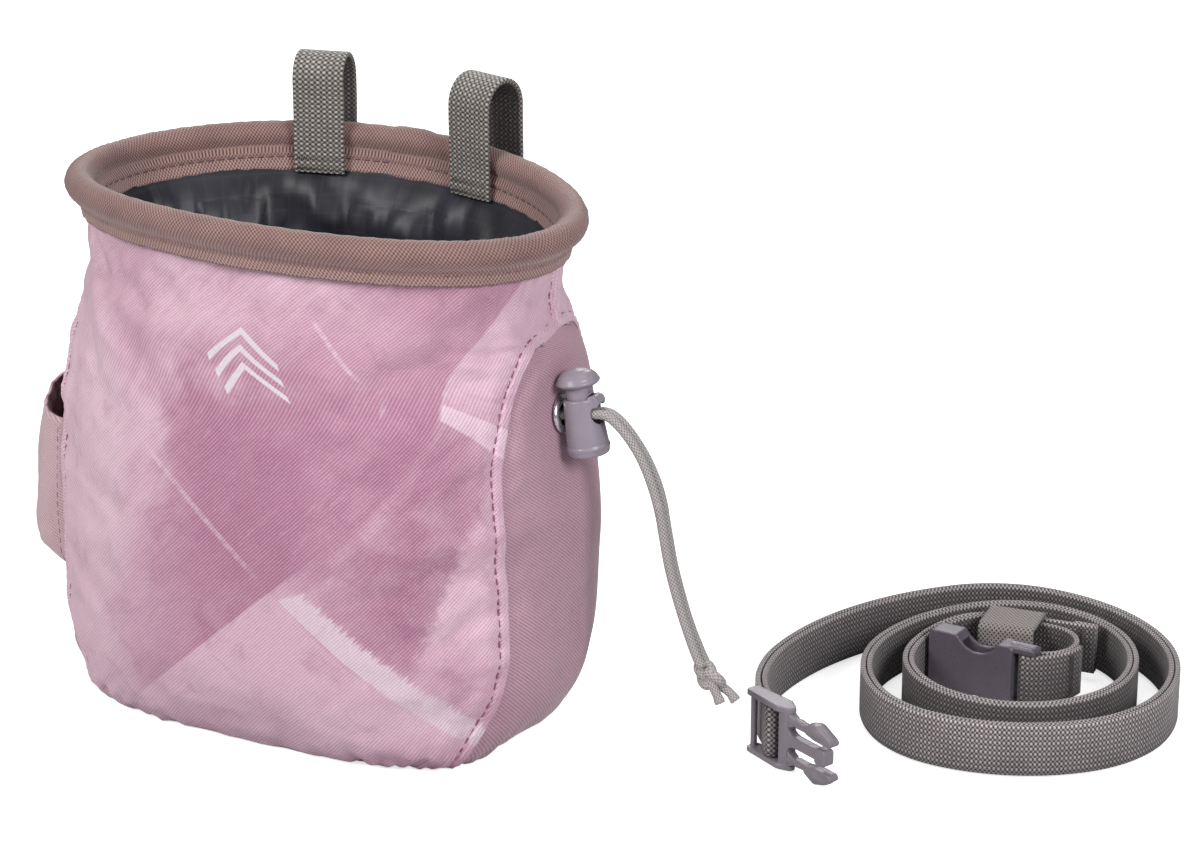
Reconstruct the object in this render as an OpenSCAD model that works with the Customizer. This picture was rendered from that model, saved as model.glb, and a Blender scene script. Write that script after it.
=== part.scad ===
// Chalk bag with a waist belt: a stiffened-mouth fabric bag, its drawcord and cord lock,
// and a coiled webbing belt with a side-release buckle standing on edge beside it.
// The bag's base is on the floor at z = 0, its centre close to the origin. +Z is up, the
// front panel faces -Y, and the cord lock and the belt are on +X. All sizes in millimetres.

/* [Bag] */
// Height of the mouth's stiffener ring above the floor
bag_h = 150; // [148:0.5:152]
// Thickness of the shell fabric with its backing
fabric_t = 0.8; // [0.6:0.1:0.9]
// Gap between neighbouring shell panels at a seam, in degrees of turn
seam_gap = 0.1; // [0.05:0.05:0.3]
// Gap between the shell and the fleece liner
liner_gap = 2.4; // [2.2:0.1:2.8]

/* [Mouth] */
// Half length of the mouth, along X
mouth_a = 73.8; // [73:0.1:74.5]
// Half width of the mouth, along Y
mouth_b = 50.3; // [49.8:0.1:50.8]
// Radius of the folded tape over the stiffener
tape_r = 4.3; // [4.1:0.1:4.5]
// Radius of the stiffener cord inside the tape
stiffener_r = 2.2; // [2:0.1:2.2]
// How far the tape hangs below the stiffener
tape_drop = 8; // [7:0.5:9]
// Length of the closure sleeve's moving flaps
sleeve_len = 50; // [44:1:52]

/* [Cord and lock] */
// Radius of one braided strand
strand_r = 1.3; // [1.1:0.05:1.35]
// Radius of the cord hole in the lock and in the eyelet
cord_hole_r = 3.0; // [2.95:0.05:3.1]
// Travel of the lock's button
button_travel = 2.5; // [2:0.1:3]
// Outer radius of the eyelet's flange
eyelet_r = 5.4; // [5:0.1:5.6]

/* [Webbing] */
// Width of the belt and loop webbing
web_w = 15; // [14:0.1:15.2]
// Thickness of the webbing
web_t = 1.5; // [1.2:0.1:1.5]
// Height of the belt loops above the mouth
loop_rise = 25; // [22:0.5:27]

/* [Buckle] */
// Height of the buckle across the webbing
buckle_w = 19; // [18.8:0.1:19.4]
// Thickness of the socket
socket_t = 6.5; // [6:0.1:6.8]
// Length of the plug's arms beyond its crossbar
arm_len = 19; // [17:0.5:19]

/* [Hidden] */

// ---- solids from rings of points ----
// Solid between closed rings of equal length, with the two end rings capped. Each ring runs
// anticlockwise about the way the rings advance. With strip, a ring is a row of points and
// the same row back again, and its cap is a strip between the two; otherwise it is a fan.
module skin(rings, strip = false) {
    count = len(rings[0]);
    levels = len(rings);
    top = (levels - 1) * count;
    sides = [for (k = [0 : levels - 2], i = [0 : count - 1])
        let (j = (i + 1) % count, low = k * count, high = low + count)
            each [[low + i, high + j, low + j], [low + i, high + i, high + j]]];
    cap = strip
        ? [for (i = [0 : count / 2 - 2])
            each [[i, count - 2 - i, count - 1 - i], [i, i + 1, count - 2 - i]]]
        : [for (i = [1 : count - 2]) [0, i, i + 1]];
    top_cap = [for (face = cap) [top + face[0], top + face[2], top + face[1]]];
    polyhedron([for (ring = rings) each ring], concat(sides, cap, top_cap));
}

// Closed sweep: the last ring joins the first
module loop_skin(rings) {
    count = len(rings[0]);
    levels = len(rings);
    polyhedron([for (ring = rings) each ring],
        [for (k = [0 : levels - 1], i = [0 : count - 1])
            let (j = (i + 1) % count, here = k * count, next = (k + 1) % levels * count)
                each [[here + i, here + j, next + j], [here + i, next + j, next + i]]]);
}

// Extrudes a 2-D shape drawn in x and z, centred on y = 0
module upright(width) {
    translate([0, width / 2, 0]) rotate([90, 0, 0]) linear_extrude(width) children();
}

// Stands a section of (outward, up) points at a centre, facing the given heading
function stand(centre, facing, section) =
    [for (p = section) centre + [p.x * cos(facing), p.x * sin(facing), p.y]];
function round_section(radius, step) =
    [for (q = [0 : step : 359]) radius * [cos(q), sin(q)]];

// Smooth step from 0 to 1
function ease(u) = let (v = min(1, max(0, u))) v * v * (3 - 2 * v);

// ---- shell surface ----
// height / bag_h, half length, front half depth, back half depth, squareness of the plan
SHELL = [
    [0,     62,   42,   24,   3.5],
    [0.02,  66.3, 45,   27,   3.4],
    [0.053, 71,   48.5, 31,   3.2],
    [0.1,   74.3, 51,   37,   3],
    [0.2,   77,   53,   46,   2.85],
    [0.4,   77.7, 53.5, 52.5, 2.7],
    [0.6,   76,   52,   52.5, 2.55],
    [0.733, 73.4, 50.5, 51,   2.35],
    [0.8,   71,   49.5, 49.5, 2.25],
    [0.867, 69.6, 48.3, 48.3, 2.1],
    [0.92,  70.4, 48.3, 48.3, 2.05],
    [1,     73.8, 50.3, 50.3, 2]];
function column(k) = [for (row = SHELL) [row[0], row[k]]];
half_length = column(1);
front_depth = column(2);
back_depth = column(3);
squareness = column(4);
// height / bag_h, centre of the plan
centre_x = [[0, -3], [0.02, -2.6], [0.053, -2.2], [0.1, -2], [1, -2]];
centre_y = [[0, 2], [0.6, 2], [0.8, 3], [1, 3]];

function signed_pow(v, power) = sign(v) * pow(abs(v), power);
// The mouth's height over its plan: it dips a little towards both ends, more so at +X
function dip(turn) = -0.017 * mouth_a * cos(turn) - 3.4 * cos(turn) * cos(turn);
// A point of the shell at a turn angle and height, moved outwards by offset
function wall(turn, z, offset) = let (f = z / bag_h, n = lookup(f, squareness),
    depth = lookup(f, sin(turn) < 0 ? front_depth : back_depth))
    [lookup(f, centre_x) + (lookup(f, half_length) + offset) * signed_pow(cos(turn), 2 / n),
     lookup(f, centre_y) + (depth + offset) * signed_pow(sin(turn), 2 / n),
     z + ease((z - bag_h + 45) / 30) * dip(turn)];

// ---- mouth frame ----
mouth_x = -2;
mouth_y = 3;
// Point at height z on the mouth's ellipse, drawn in by inset_x and inset_y
function mouth_plan(turn, inset_x, inset_y, z) =
    [mouth_x + (mouth_a - inset_x) * cos(turn), mouth_y + (mouth_b - inset_y) * sin(turn), z];
function mouth(turn) = mouth_plan(turn, 0, 0, bag_h + dip(turn));
// Outward heading of an ellipse
function heading(turn, semi_x = mouth_a, semi_y = mouth_b) =
    atan2(sin(turn) / semi_y, cos(turn) / semi_x);
module at_mouth(turn) {
    translate(mouth(turn)) rotate([0, 0, heading(turn)]) children();
}

// ---- cord frame, where the cord leaves through the right wall ----
cord_tilt = 10;
cord_dir = [cos(cord_tilt), 0, sin(cord_tilt)];
eye = [73.3, 1.5, 97];
lock_centre = eye + 6.9 * cord_dir;
// Places local x along the cord and local z up the lock
module on_cord(p) {
    translate(p) rotate([0, -cord_tilt, 0]) children();
}
module cord_opening(length) {
    on_cord(eye) rotate([0, 90, 0])
        cylinder(r = cord_hole_r + 1.1, h = length, center = true, $fn = 32);
}

// ---- shell panels ----
// height / bag_h, turn angle of the right side panel's front seam
SEAM = [[0, -35], [0.067, -31.5], [0.133, -26.5], [0.233, -23.5], [0.333, -23.5],
    [0.433, -25], [0.587, -24.8], [0.653, -22.5], [0.707, -19.5], [0.753, -15],
    [0.787, -8], [0.8, -1], [0.813, 6], [1, 6]];
function right_front_seam(z) = lookup(z / bag_h, SEAM);
function right_back_seam(z) = 12 - right_front_seam(z);
function left_back_seam(z) = 168 + right_front_seam(z);
// Low down, the left front seam sits further round to the front than the right one
function left_front_seam(z) = 180 - right_front_seam(z) + 10 * (1 - ease((z - 96) / 24));

low_heights = [0, 3, 8, 15, 28, 42, 60, 78, 94, 104, 112, 117, 120];
side_heights = concat(low_heights, [121.4]);
full_heights = concat(low_heights, [122, 130, 137, bag_h - 5.5]);

// Shell panel between the start and end turn angles listed for each height
module panel(heights, starts, ends, steps) {
    skin([for (k = [0 : len(heights) - 1])
        let (turns = [for (i = [0 : steps]) starts[k] + (ends[k] - starts[k]) * i / steps])
            concat([for (i = [0 : steps]) wall(turns[i], heights[k], 0)],
                [for (i = [steps : -1 : 0]) wall(turns[i], heights[k], -fabric_t)])],
        strip = true);
}
module front_panel() color("#dfb4c6")
    panel(full_heights,
        [for (z = full_heights) left_front_seam(z) - 360 + seam_gap],
        [for (z = full_heights) right_front_seam(z) - seam_gap], steps = 18);
module back_panel() color("#dfb4c6")
    panel(full_heights,
        [for (z = full_heights) right_back_seam(z) + seam_gap],
        [for (z = full_heights) left_back_seam(z) - seam_gap], steps = 18);
module side_panel_right() color("#b48c9b") difference() {
    panel(side_heights,
        [for (z = side_heights) right_front_seam(z)],
        [for (z = side_heights) right_back_seam(z)], steps = 8);
    cord_opening(12);
}
module side_panel_left() color("#b48c9b")
    panel(side_heights,
        [for (z = side_heights) left_back_seam(z)],
        [for (z = side_heights) left_front_seam(z)], steps = 8);
module base_panel() color("#b48c9b")
    linear_extrude(1.2) polygon([for (turn = [0 : 7.5 : 352.5])
        let (p = wall(turn, 0, -fabric_t - 0.2)) [p.x, p.y]]);

// Fleece liner: a closed-bottom cup, its rings going up the outside and down the inside
liner_t = 0.8;
liner_up = [1.8, 8, 20, 45, 80, 105, 126];
liner_down = [126, 105, 80, 45, 20, 8, 3.2];
function liner_ring(z, inset) = [for (turn = [0 : 12 : 348]) wall(turn, z, -inset)];
module fleece_liner() color("#c9c4c8") difference() {
    skin(concat(
        [for (z = liner_up) liner_ring(z, fabric_t + liner_gap)],
        [for (z = liner_down) liner_ring(z, fabric_t + liner_gap + liner_t)]));
    cord_opening(24);
}

// ---- rim ----
module rim_ring() color("#3c3a3e")
    loop_skin([for (turn = [0 : 7.5 : 352.5])
        stand(mouth(turn), heading(turn), round_section(stiffener_r, 45))]);

// Folded tape: a keyhole section carried round the mouth, its two flanges lying on the
// two faces of the shell, which draws in a little below the mouth
tape_inner_r = tape_r - 1.8;
flange_outer = 2.0;
flange_inner = 1.1;
flange_zs = [-tape_drop, -tape_drop / 2 - 2.5, -5];
// Outward offset of the shell's mid-thickness from the mouth line, z from the mouth
function lean(turn, z) = let (f = (bag_h + z) / bag_h, facing = heading(turn))
    (lookup(f, half_length) - mouth_a) * pow(cos(facing), 2)
    + (lookup(f, front_depth) - mouth_b) * pow(sin(facing), 2) - fabric_t / 2;
function flange(turn, offset, order) =
    [for (k = order) [lean(turn, flange_zs[k]) + offset, flange_zs[k]]];
function tape_arc(radius, angles) = [for (q = angles) radius * [cos(q), sin(q)]];
function keyhole(turn) = let (rising = [0 : 2], falling = [2 : -1 : 0]) concat(
    flange(turn, flange_outer, rising),
    tape_arc(tape_r, [-35 : 25 : 215]),
    flange(turn, -flange_outer, falling),
    flange(turn, -flange_inner, rising),
    tape_arc(tape_inner_r, [215 : -25 : -35]),
    flange(turn, flange_inner, falling));
module rim_binding() color("#ab8480")
    loop_skin([for (turn = [0 : 9 : 351]) stand(mouth(turn), heading(turn), keyhole(turn))]);

// ---- eyelet, its profile as (radius, distance outwards along the cord) ----
module eyelet() color("#d8d8da")
    on_cord(eye + 0.6 * cord_dir) rotate([0, 90, 0]) rotate_extrude($fn = 48)
        polygon([[cord_hole_r + 0.2, -3.0], [cord_hole_r + 0.2, 0.5], [cord_hole_r + 0.5, 0.8],
            [eyelet_r - 0.6, 0.8], [eyelet_r, 0.4], [eyelet_r, 0],
            [cord_hole_r + 0.8, 0], [cord_hole_r + 0.8, -3.0]]);
module eyelet_washer() color("#c4c4c8")
    on_cord(eye - 2.2 * cord_dir) rotate([0, 90, 0]) difference() {
        cylinder(r = eyelet_r - 0.2, h = 0.6, center = true, $fn = 48);
        cylinder(r = cord_hole_r + 0.9, h = 2, center = true, $fn = 48);
    }

// Ring of drawcord inside the bag, near the tips of the closure flaps
module drawcord_inner() color("#a49e9b")
    loop_skin([for (turn = [0 : 10 : 350])
        stand(mouth_plan(turn, 6.2, 6.6, 82), heading(turn), round_section(strand_r, 60))]);

// ---- brush sleeve: a half tube on the left wall, closed in at its foot ----
// height, bulge out from the wall
BULGE = [[32, 1.2], [33, 7.5], [34, 12.5], [35.5, 16], [37, 17.4], [39, 18.1], [41.5, 18.3],
    [46, 17.6], [50, 17.1], [60, 15.4], [70, 13.6], [80, 12.4]];
brush_y = -3;
brush_half_width = 18;
// x of the shell's left wall at depth y
function left_wall_x(y, z) = let (f = z / bag_h, n = lookup(f, squareness),
    middle = lookup(f, centre_y),
    v = abs(y - middle) / lookup(f, y < middle ? front_depth : back_depth))
    lookup(f, centre_x) - lookup(f, half_length) * pow(1 - pow(v, n), 1 / n);
// rise lifts the bulge profile, which leaves thickness at the foot
function brush_point(q, z, offset, rise = 0) =
    let (y = brush_y + (brush_half_width + offset) * cos(q))
    [left_wall_x(y, z) - 0.3 - (lookup(z - rise, BULGE) + offset) * pow(sin(q), 0.87), y, z];
module half_tube(heights, inner, outer) {
    skin([for (z = heights)
        concat([for (q = [6 : 12 : 174]) brush_point(q, z, outer)],
            [for (q = [174 : -12 : 6]) brush_point(q, z, inner, rise = 0.8)])],
        strip = true);
}
module brush_sleeve() color("#b48c9b")
    half_tube([32, 33, 34, 35.5, 37, 39, 41.5, 46, 52, 60, 70, 80], inner = 0, outer = 0.8);
module brush_sleeve_hem() color("#a88290")
    half_tube([75.5, 78, 81], inner = 1.0, outer = 1.8);

// ---- belt loops on the back of the mouth ----
left_loop_turn = 112.7;
right_loop_turn = 70.6;
arch_r = 7;
arch_rise = 7.5;
arch_shift = 0.5; // outwards from the mouth line
arch_foot_z = 2.8;
arch_spring_z = loop_rise - arch_rise - web_t / 2;
function arch_curve(offset, angles) = [for (q = angles)
    [arch_shift + (arch_r + offset) * cos(q), arch_spring_z + (arch_rise + offset) * sin(q)]];
function arch_foot(x) = [[arch_shift + x, arch_foot_z]];
module loop_arch(turn) at_mouth(turn) upright(web_w) polygon(concat(
    arch_foot(-arch_r - web_t / 2),
    arch_curve(web_t / 2, [180 : -9 : 0]),
    arch_foot(arch_r + web_t / 2),
    arch_foot(arch_r - web_t / 2),
    arch_curve(-web_t / 2, [0 : 9 : 180]),
    arch_foot(-arch_r + web_t / 2)));
// The loop's two ends below the arch, inside and outside the rim
tab_inner_x = -7.25;
tab_outer_x = 8.25;
tab_top_z = -0.1;
module loop_tab(turn) at_mouth(turn) {
    upright(web_w) polygon([[tab_inner_x, -8.6], [tab_inner_x + web_t - 0.1, -8.6],
        [tab_inner_x + web_t, tab_top_z], [tab_inner_x, tab_top_z]]);
    upright(web_w) polygon([[tab_outer_x - web_t, tab_top_z], [tab_outer_x, tab_top_z],
        [4.9, -8.2], [3.3, -8.2]]);
}
module loop_left() color("#8c8480") loop_arch(left_loop_turn);
module loop_right() color("#8c8480") loop_arch(right_loop_turn);
module loop_tab_left() color("#8c8480") loop_tab(left_loop_turn);
module loop_tab_right() color("#8c8480") loop_tab(right_loop_turn);

// ---- closure sleeve: eight tapered flaps hung inside the mouth, 45 degrees apart ----
flap_inset = 11.5;
flap_z = bag_h - 16;
flap_t = 0.8;
flap_tip = 4;
flap_widths = [18, 24, 32, 24];
module sleeve_flap(number) {
    turn = 45 * (number - 1);
    width = flap_widths[(number - 1) % 4];
    color("#2f2f37")
        translate(mouth_plan(turn, flap_inset, flap_inset, flap_z))
        rotate([0, 0, heading(turn, mouth_a - flap_inset, mouth_b - flap_inset)])
        translate([-flap_t / 2, 0, 0]) rotate([90, 0, 90]) linear_extrude(flap_t)
            polygon([[-width / 2, -0.5], [-flap_tip / 2, -sleeve_len],
                [flap_tip / 2, -sleeve_len], [width / 2, -0.5]]);
}
module sleeve_flap_1() sleeve_flap(1);
module sleeve_flap_2() sleeve_flap(2);
module sleeve_flap_3() sleeve_flap(3);
module sleeve_flap_4() sleeve_flap(4);
module sleeve_flap_5() sleeve_flap(5);
module sleeve_flap_6() sleeve_flap(6);
module sleeve_flap_7() sleeve_flap(7);
module sleeve_flap_8() sleeve_flap(8);

// ---- cord lock ----
bore_r = 3.85;
// Profiles as (radius, height)
LOCK_PROFILE = [[0, -11.5], [5.0, -11.5], [5.5, -11.2], [5.75, -10.4], [5.7, -8],
    [5.45, -3.5], [5.1, 1], [4.85, 4.2], [4.6, 4.6], [0, 4.6]];
CAP_PROFILE = [[0, 8.0], [4.9, 8.0], [5.7, 8.5], [5.85, 9.1], [5.4, 10.4], [4.2, 11.6],
    [2.4, 12.4], [0, 12.8]];
module cord_lock_body() color("#968e9b") on_cord(lock_centre) difference() {
    union() {
        rotate_extrude($fn = 64) polygon(LOCK_PROFILE);
        // rounded lug on the outer side
        translate([4.4, 0, 3.4]) rotate([90, 0, 0])
            cylinder(r = 1.9, h = 4.6, center = true, $fn = 32);
    }
    translate([0, 0, -10.5]) cylinder(r = bore_r, h = 20, $fn = 64);
    rotate([0, 90, 0]) cylinder(r = cord_hole_r, h = 20, center = true, $fn = 48);
}

spring_r = 3.0;
wire_r = 0.25;
spring_turns = 4;
spring_steps = 64;
spring_z = [-10.2, -5.55];
module cord_lock_spring() color("#c8c8cc") on_cord(lock_centre)
    skin([for (i = [0 : spring_steps])
        let (q = 360 * spring_turns * i / spring_steps,
            z = spring_z[0] + (spring_z[1] - spring_z[0]) * i / spring_steps)
        stand([0, 0, z], q, [for (f = [300 : -60 : 0])
            [spring_r + wire_r * cos(f), wire_r * sin(f)]])]);
module cord_lock_button() color("#8f8894") on_cord(lock_centre) difference() {
    union() {
        translate([0, 0, -5.2]) cylinder(r = bore_r - 0.1, h = 14.2, $fn = 64);
        rotate_extrude($fn = 64) polygon(CAP_PROFILE);
    }
    // cord slot, as long as the travel needs
    hull() for (z = [0, button_travel])
        translate([0, 0, z]) rotate([0, 90, 0])
            cylinder(r = cord_hole_r, h = 20, center = true, $fn = 32);
    // notch in the outer side of the stem
    translate([2.8, -1.5, 6.0]) cube([2, 3, 1.5]);
}

// ---- drawcord outside the bag, in the plane y = eye.y ----
function in_cord_plane(points) = [for (p = points) [p.x, eye.y, p.y]];
// From inside the bag, through the eyelet and the lock, then down; (x, z) after the lock
upper_path = concat([for (s = [-8, -2, 4, 9, 12.5]) eye + s * cord_dir],
    in_cord_plane([[88.4, 98.9], [91.6, 96.8], [95, 93.3], [98.4, 88.6], [101.4, 82.6],
        [103.6, 76]]));
lower_path = in_cord_plane([[103.85, 75.0], [105.2, 68], [107, 59], [109.6, 50],
    [112.4, 42], [116.6, 32]]);
function tangent(path, i) =
    let (step = path[min(len(path) - 1, i + 1)] - path[max(0, i - 1)]) step / norm(step);
module strand(path, shift) {
    skin([for (i = [0 : len(path) - 1]) let (normal = cross([0, 1, 0], tangent(path, i)))
        [for (q = [0 : 30 : 330])
            path[i] + [0, shift, 0] + strand_r * (cos(q) * normal + sin(q) * [0, 1, 0])]]);
}
module strand_pair(path) {
    for (shift = [-1.36, 1.36]) strand(path, shift);
}
module cord_upper() color("#a59e9b") strand_pair(upper_path);
// The lower cord ends in a round knot with two short tails
module cord_lower() color("#a59e9b") union() {
    strand_pair(lower_path);
    translate([118.8, eye.y, 28.4]) sphere(r = 3.8, $fn = 32);
    translate([119.8, eye.y, 27.2]) for (y = [-1.4, 1.4])
        translate([0, y, 0]) rotate([0, 128, 0]) cylinder(r = strand_r, h = 7, $fn = 24);
}

// ---- belt ----
// Centre line of the doubled belt, from the plug to the socket: [radius, sweep in degrees].
// A positive sweep turns right, a negative one left; radius 0 is a straight [0, length].
BELT_ARCS = [[0, 4], [30, -5.5], [52.8, 41.5], [91.6, 45], [38.4, 45], [54, 90], [40.5, 45],
    [52.5, 45], [32.5, 45], [44.5, 45], [53.1, 45], [28.9, 45], [33.9, 45], [41.1, 45],
    [33.7, 45], [31.3, 45], [30, 90], [30.3, 45], [14, 45], [0, 13.7], [11.2, 90],
    [11.5, 80], [0, 1]];
plug_bar = [131.2, 16.7];
belt_start_heading = 126;
// A station is [x, y, heading]; this is the one a given part of the way along an arc
function along(from, arc, part) = arc[0] == 0
    ? [from.x + arc[1] * part * cos(from.z), from.y + arc[1] * part * sin(from.z), from.z]
    : let (radius = arc[0] * sign(arc[1]), turned = from.z - arc[1] * part)
      [from.x + radius * (sin(from.z) - sin(turned)),
       from.y - radius * (cos(from.z) - cos(turned)), turned];
// Steps of about 5 mm on a straight and 11 degrees on an arc
function arc_steps(arc) = max(1, round(abs(arc[1]) / (arc[0] == 0 ? 5 : 11)));
function chain(i, from) = i == len(BELT_ARCS) ? [from]
    : let (arc = BELT_ARCS[i], steps = arc_steps(arc))
      concat([for (k = [0 : steps - 1]) along(from, arc, k / steps)],
          chain(i + 1, along(from, arc, 1)));
track = chain(0, [plug_bar.x, plug_bar.y, belt_start_heading]);
last = len(track) - 1;
// Distance along the track to each station
function distance(i) = i == 0 ? 0
    : distance(i - 1) + norm([track[i].x - track[i - 1].x, track[i].y - track[i - 1].y]);
distances = [for (i = [0 : last]) distance(i)];
total = distances[last];

// The belt's lower edge rises a little towards both halves of the buckle
function lift(s) = 0.3 + 1.75 * ease(1 - s / 35) + 1.75 * ease((s - total + 85) / 25);
// The two layers part towards the plug's bar to pass round it
bar_turn_r = 1.9;
bar_reach = 9;
half_gap = web_t / 2 + 0.15;
function spread(s) = half_gap + (bar_turn_r - half_gap) * ease(1 - s / bar_reach);
// Point beside a station, offset to its left
function beside(i, offset) = let (p = track[i])
    [p.x - offset * sin(p.z), p.y + offset * cos(p.z), lift(distances[i])];
function around_bar(bar, from, z) = [for (q = [from + 30 : 30 : from + 150])
    [bar.x + bar_turn_r * cos(q), bar.y + bar_turn_r * sin(q), z]];

// The outer layer stops short of the socket and ends in a loose tail
tail_start = len([for (s = distances) if (s < total - 53) s]) - 1;
tail_step = 5.6;
tail_heading = 5;
tail = [for (k = [5 : -1 : 1])
    [track[tail_start].x + tail_step * k * cos(tail_heading),
     track[tail_start].y + half_gap + tail_step * k * sin(tail_heading) + 1.1 * ease(k / 4),
     lift(total)]];

// The inner layer goes round the socket's bar and lies back on itself
end_heading = track[last].z;
end_point = beside(last, -half_gap);
socket_bar = [end_point.x - bar_turn_r * sin(end_heading),
    end_point.y + bar_turn_r * cos(end_heading)];
fold_pitch = web_t + 0.12;
fold_back = [for (i = [last - 1 : -1 : last - 8])
    beside(i, -half_gap + fold_pitch
        + (2 * bar_turn_r - fold_pitch) * ease(1 - (total - distances[i]) / bar_reach))];

belt_path = concat(tail,
    [for (i = [tail_start : -1 : 0]) beside(i, spread(distances[i]))],
    around_bar(plug_bar, belt_start_heading + 90, lift(0)),
    [for (i = [0 : last]) beside(i, -spread(distances[i]))],
    around_bar(socket_bar, end_heading - 90, lift(total)),
    fold_back);
module strap(path, width, thickness) {
    skin([for (i = [0 : len(path) - 1])
        let (p = path[i], ahead = path[min(len(path) - 1, i + 1)] - path[max(0, i - 1)],
            side = [-ahead.y, ahead.x, 0] / norm([ahead.x, ahead.y]) * thickness / 2,
            up = [0, 0, width])
        [p + side + up, p - side + up, p - side, p + side]]);
}
module belt_webbing() color("#8a827e") strap(belt_path, web_w, web_t);

// Flat sleeve round the belt
keeper_len = 16;
module keeper_outline(radius) {
    hull() for (y = [-6, 6], z = [-7.0, 7.0]) translate([y, z]) circle(r = radius, $fn = 24);
}
module belt_keeper() color("#7f7875")
    translate([167.5, 101.7, 0]) rotate([0, 0, 7]) translate([-keeper_len / 2, 0, 9.4])
        rotate([90, 0, 90]) linear_extrude(keeper_len) difference() {
            keeper_outline(2);
            keeper_outline(0.9);
        }

// ---- buckle ----
// Local x runs from the webbing bar to the mouth or the arm tips, z is across the webbing
socket_heading = 175.5;
plug_heading = -25.5;
module at_bar(bar, facing) {
    translate([bar.x, bar.y, 0]) rotate([0, 0, facing]) children();
}
// Plate with rounded corners in the x-z plane
module slab(x0, x1, thickness, z0, z1, corner) {
    upright(thickness) hull()
        for (x = [x0 + corner, x1 - corner], z = [z0 + corner, z1 - corner])
            translate([x, z]) circle(r = corner, $fn = 24);
}

socket_bottom = 0.4;
socket_top = buckle_w + 0.1;
ear_t = 1.6;
module buckle_socket() color("#7c747d") at_bar(socket_bar, socket_heading) difference() {
    union() {
        slab(3.6, 30, socket_t, socket_bottom, socket_top, corner = 1.6);
        // ears and the webbing bar between them
        for (z = [socket_bottom, socket_top - ear_t]) slab(-2.8, 6, 5, z, z + ear_t, corner = 0.8);
        translate([0, 0, 1]) cylinder(r = 0.95, h = buckle_w - 1.4, $fn = 32);
    }
    translate([7, -2.2, 2.6]) cube([24, 4.4, buckle_w - 4.7]);
    // scoops in the two edges
    for (z = [-5.7, buckle_w + 3.1])
        translate([14.5, 0, z]) rotate([90, 0, 0])
            cylinder(r = 7.2, h = 20, center = true, $fn = 64);
}

lower_arm_z = 3.6;
upper_arm_z = buckle_w - 3.8;
module buckle_plug() color("#b9b2b9") at_bar(plug_bar, plug_heading) difference() {
    union() {
        // side rails, the end bar and the webbing bar
        for (z = [[0.1, 1.6], [buckle_w - 1.8, buckle_w]]) slab(-9.4, 7, 4, z[0], z[1], corner = 0.7);
        translate([-8.4, 0, 1]) cylinder(r = 0.9, h = buckle_w - 2, $fn = 32);
        translate([0, 0, 1]) cylinder(r = 1.0, h = buckle_w - 2, $fn = 32);
        // crossbar, middle tongue with its head, and the arm roots
        slab(4.6, 7.6, 3.6, 0.4, buckle_w - 0.3, corner = 0.9);
        slab(7, 22.5, 2.6, 7.9, 11.1, corner = 0.8);
        slab(20, 23.6, 3.6, 6.95, 11.85, corner = 1.2);
        for (z = [lower_arm_z, upper_arm_z]) slab(7, 10.5, 2.6, z - 1.3, z + 1.3, corner = 0.6);
    }
    translate([8.5, -1.2, 8.6]) cube([10, 2.6, 1.8]);
}
// One arm: a beam with a bulbous head; side is 1 for the upper arm, -1 for the lower
module plug_arm(z, side) at_bar(plug_bar, plug_heading) translate([0, 0, z]) {
    upright(2.5) polygon([[10.7, -1.1], [16, -0.9 - 0.1 * side], [16, 0.9 - 0.1 * side],
        [10.7, 1.1]]);
    upright(3.4) hull() {
        translate([16.2, 0.2 * side]) circle(r = 1.3, $fn = 24);
        translate([19.6, 0.6 * side]) circle(r = 2.3, $fn = 32);
        translate([7.4 + arm_len - 1.5, -0.6 * side]) circle(r = 1.2, $fn = 24);
    }
}
module plug_arm_upper() color("#b9b2b9") plug_arm(upper_arm_z, 1);
module plug_arm_lower() color("#b9b2b9") plug_arm(lower_arm_z, -1);

front_panel();
back_panel();
side_panel_right();
side_panel_left();
base_panel();
fleece_liner();
rim_ring();
rim_binding();
eyelet();
eyelet_washer();
drawcord_inner();
brush_sleeve();
brush_sleeve_hem();
loop_tab_left();
loop_tab_right();
loop_left();
loop_right();
sleeve_flap_1();
sleeve_flap_2();
sleeve_flap_3();
sleeve_flap_4();
sleeve_flap_5();
sleeve_flap_6();
sleeve_flap_7();
sleeve_flap_8();
cord_lock_body();
cord_lock_spring();
cord_lock_button();
cord_upper();
cord_lower();
belt_webbing();
belt_keeper();
buckle_socket();
buckle_plug();
plug_arm_upper();
plug_arm_lower();
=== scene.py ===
# Chalk bag with a coiled waist belt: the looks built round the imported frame.
# The bag stands on the floor with its mouth up (+z). Its front faces -y, its back +y,
# its right side (cord and eyelet) +x and its left side (brush sleeve) -x. The belt
# webbing stands on edge on the floor. Lengths are in millimetres and are scaled when
# a mesh is made; "turn" is an angle about z in degrees, 0 at +x and 90 at +y.
import bpy
import bmesh
import math
import numpy as np
from mathutils import Vector, Matrix

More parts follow.
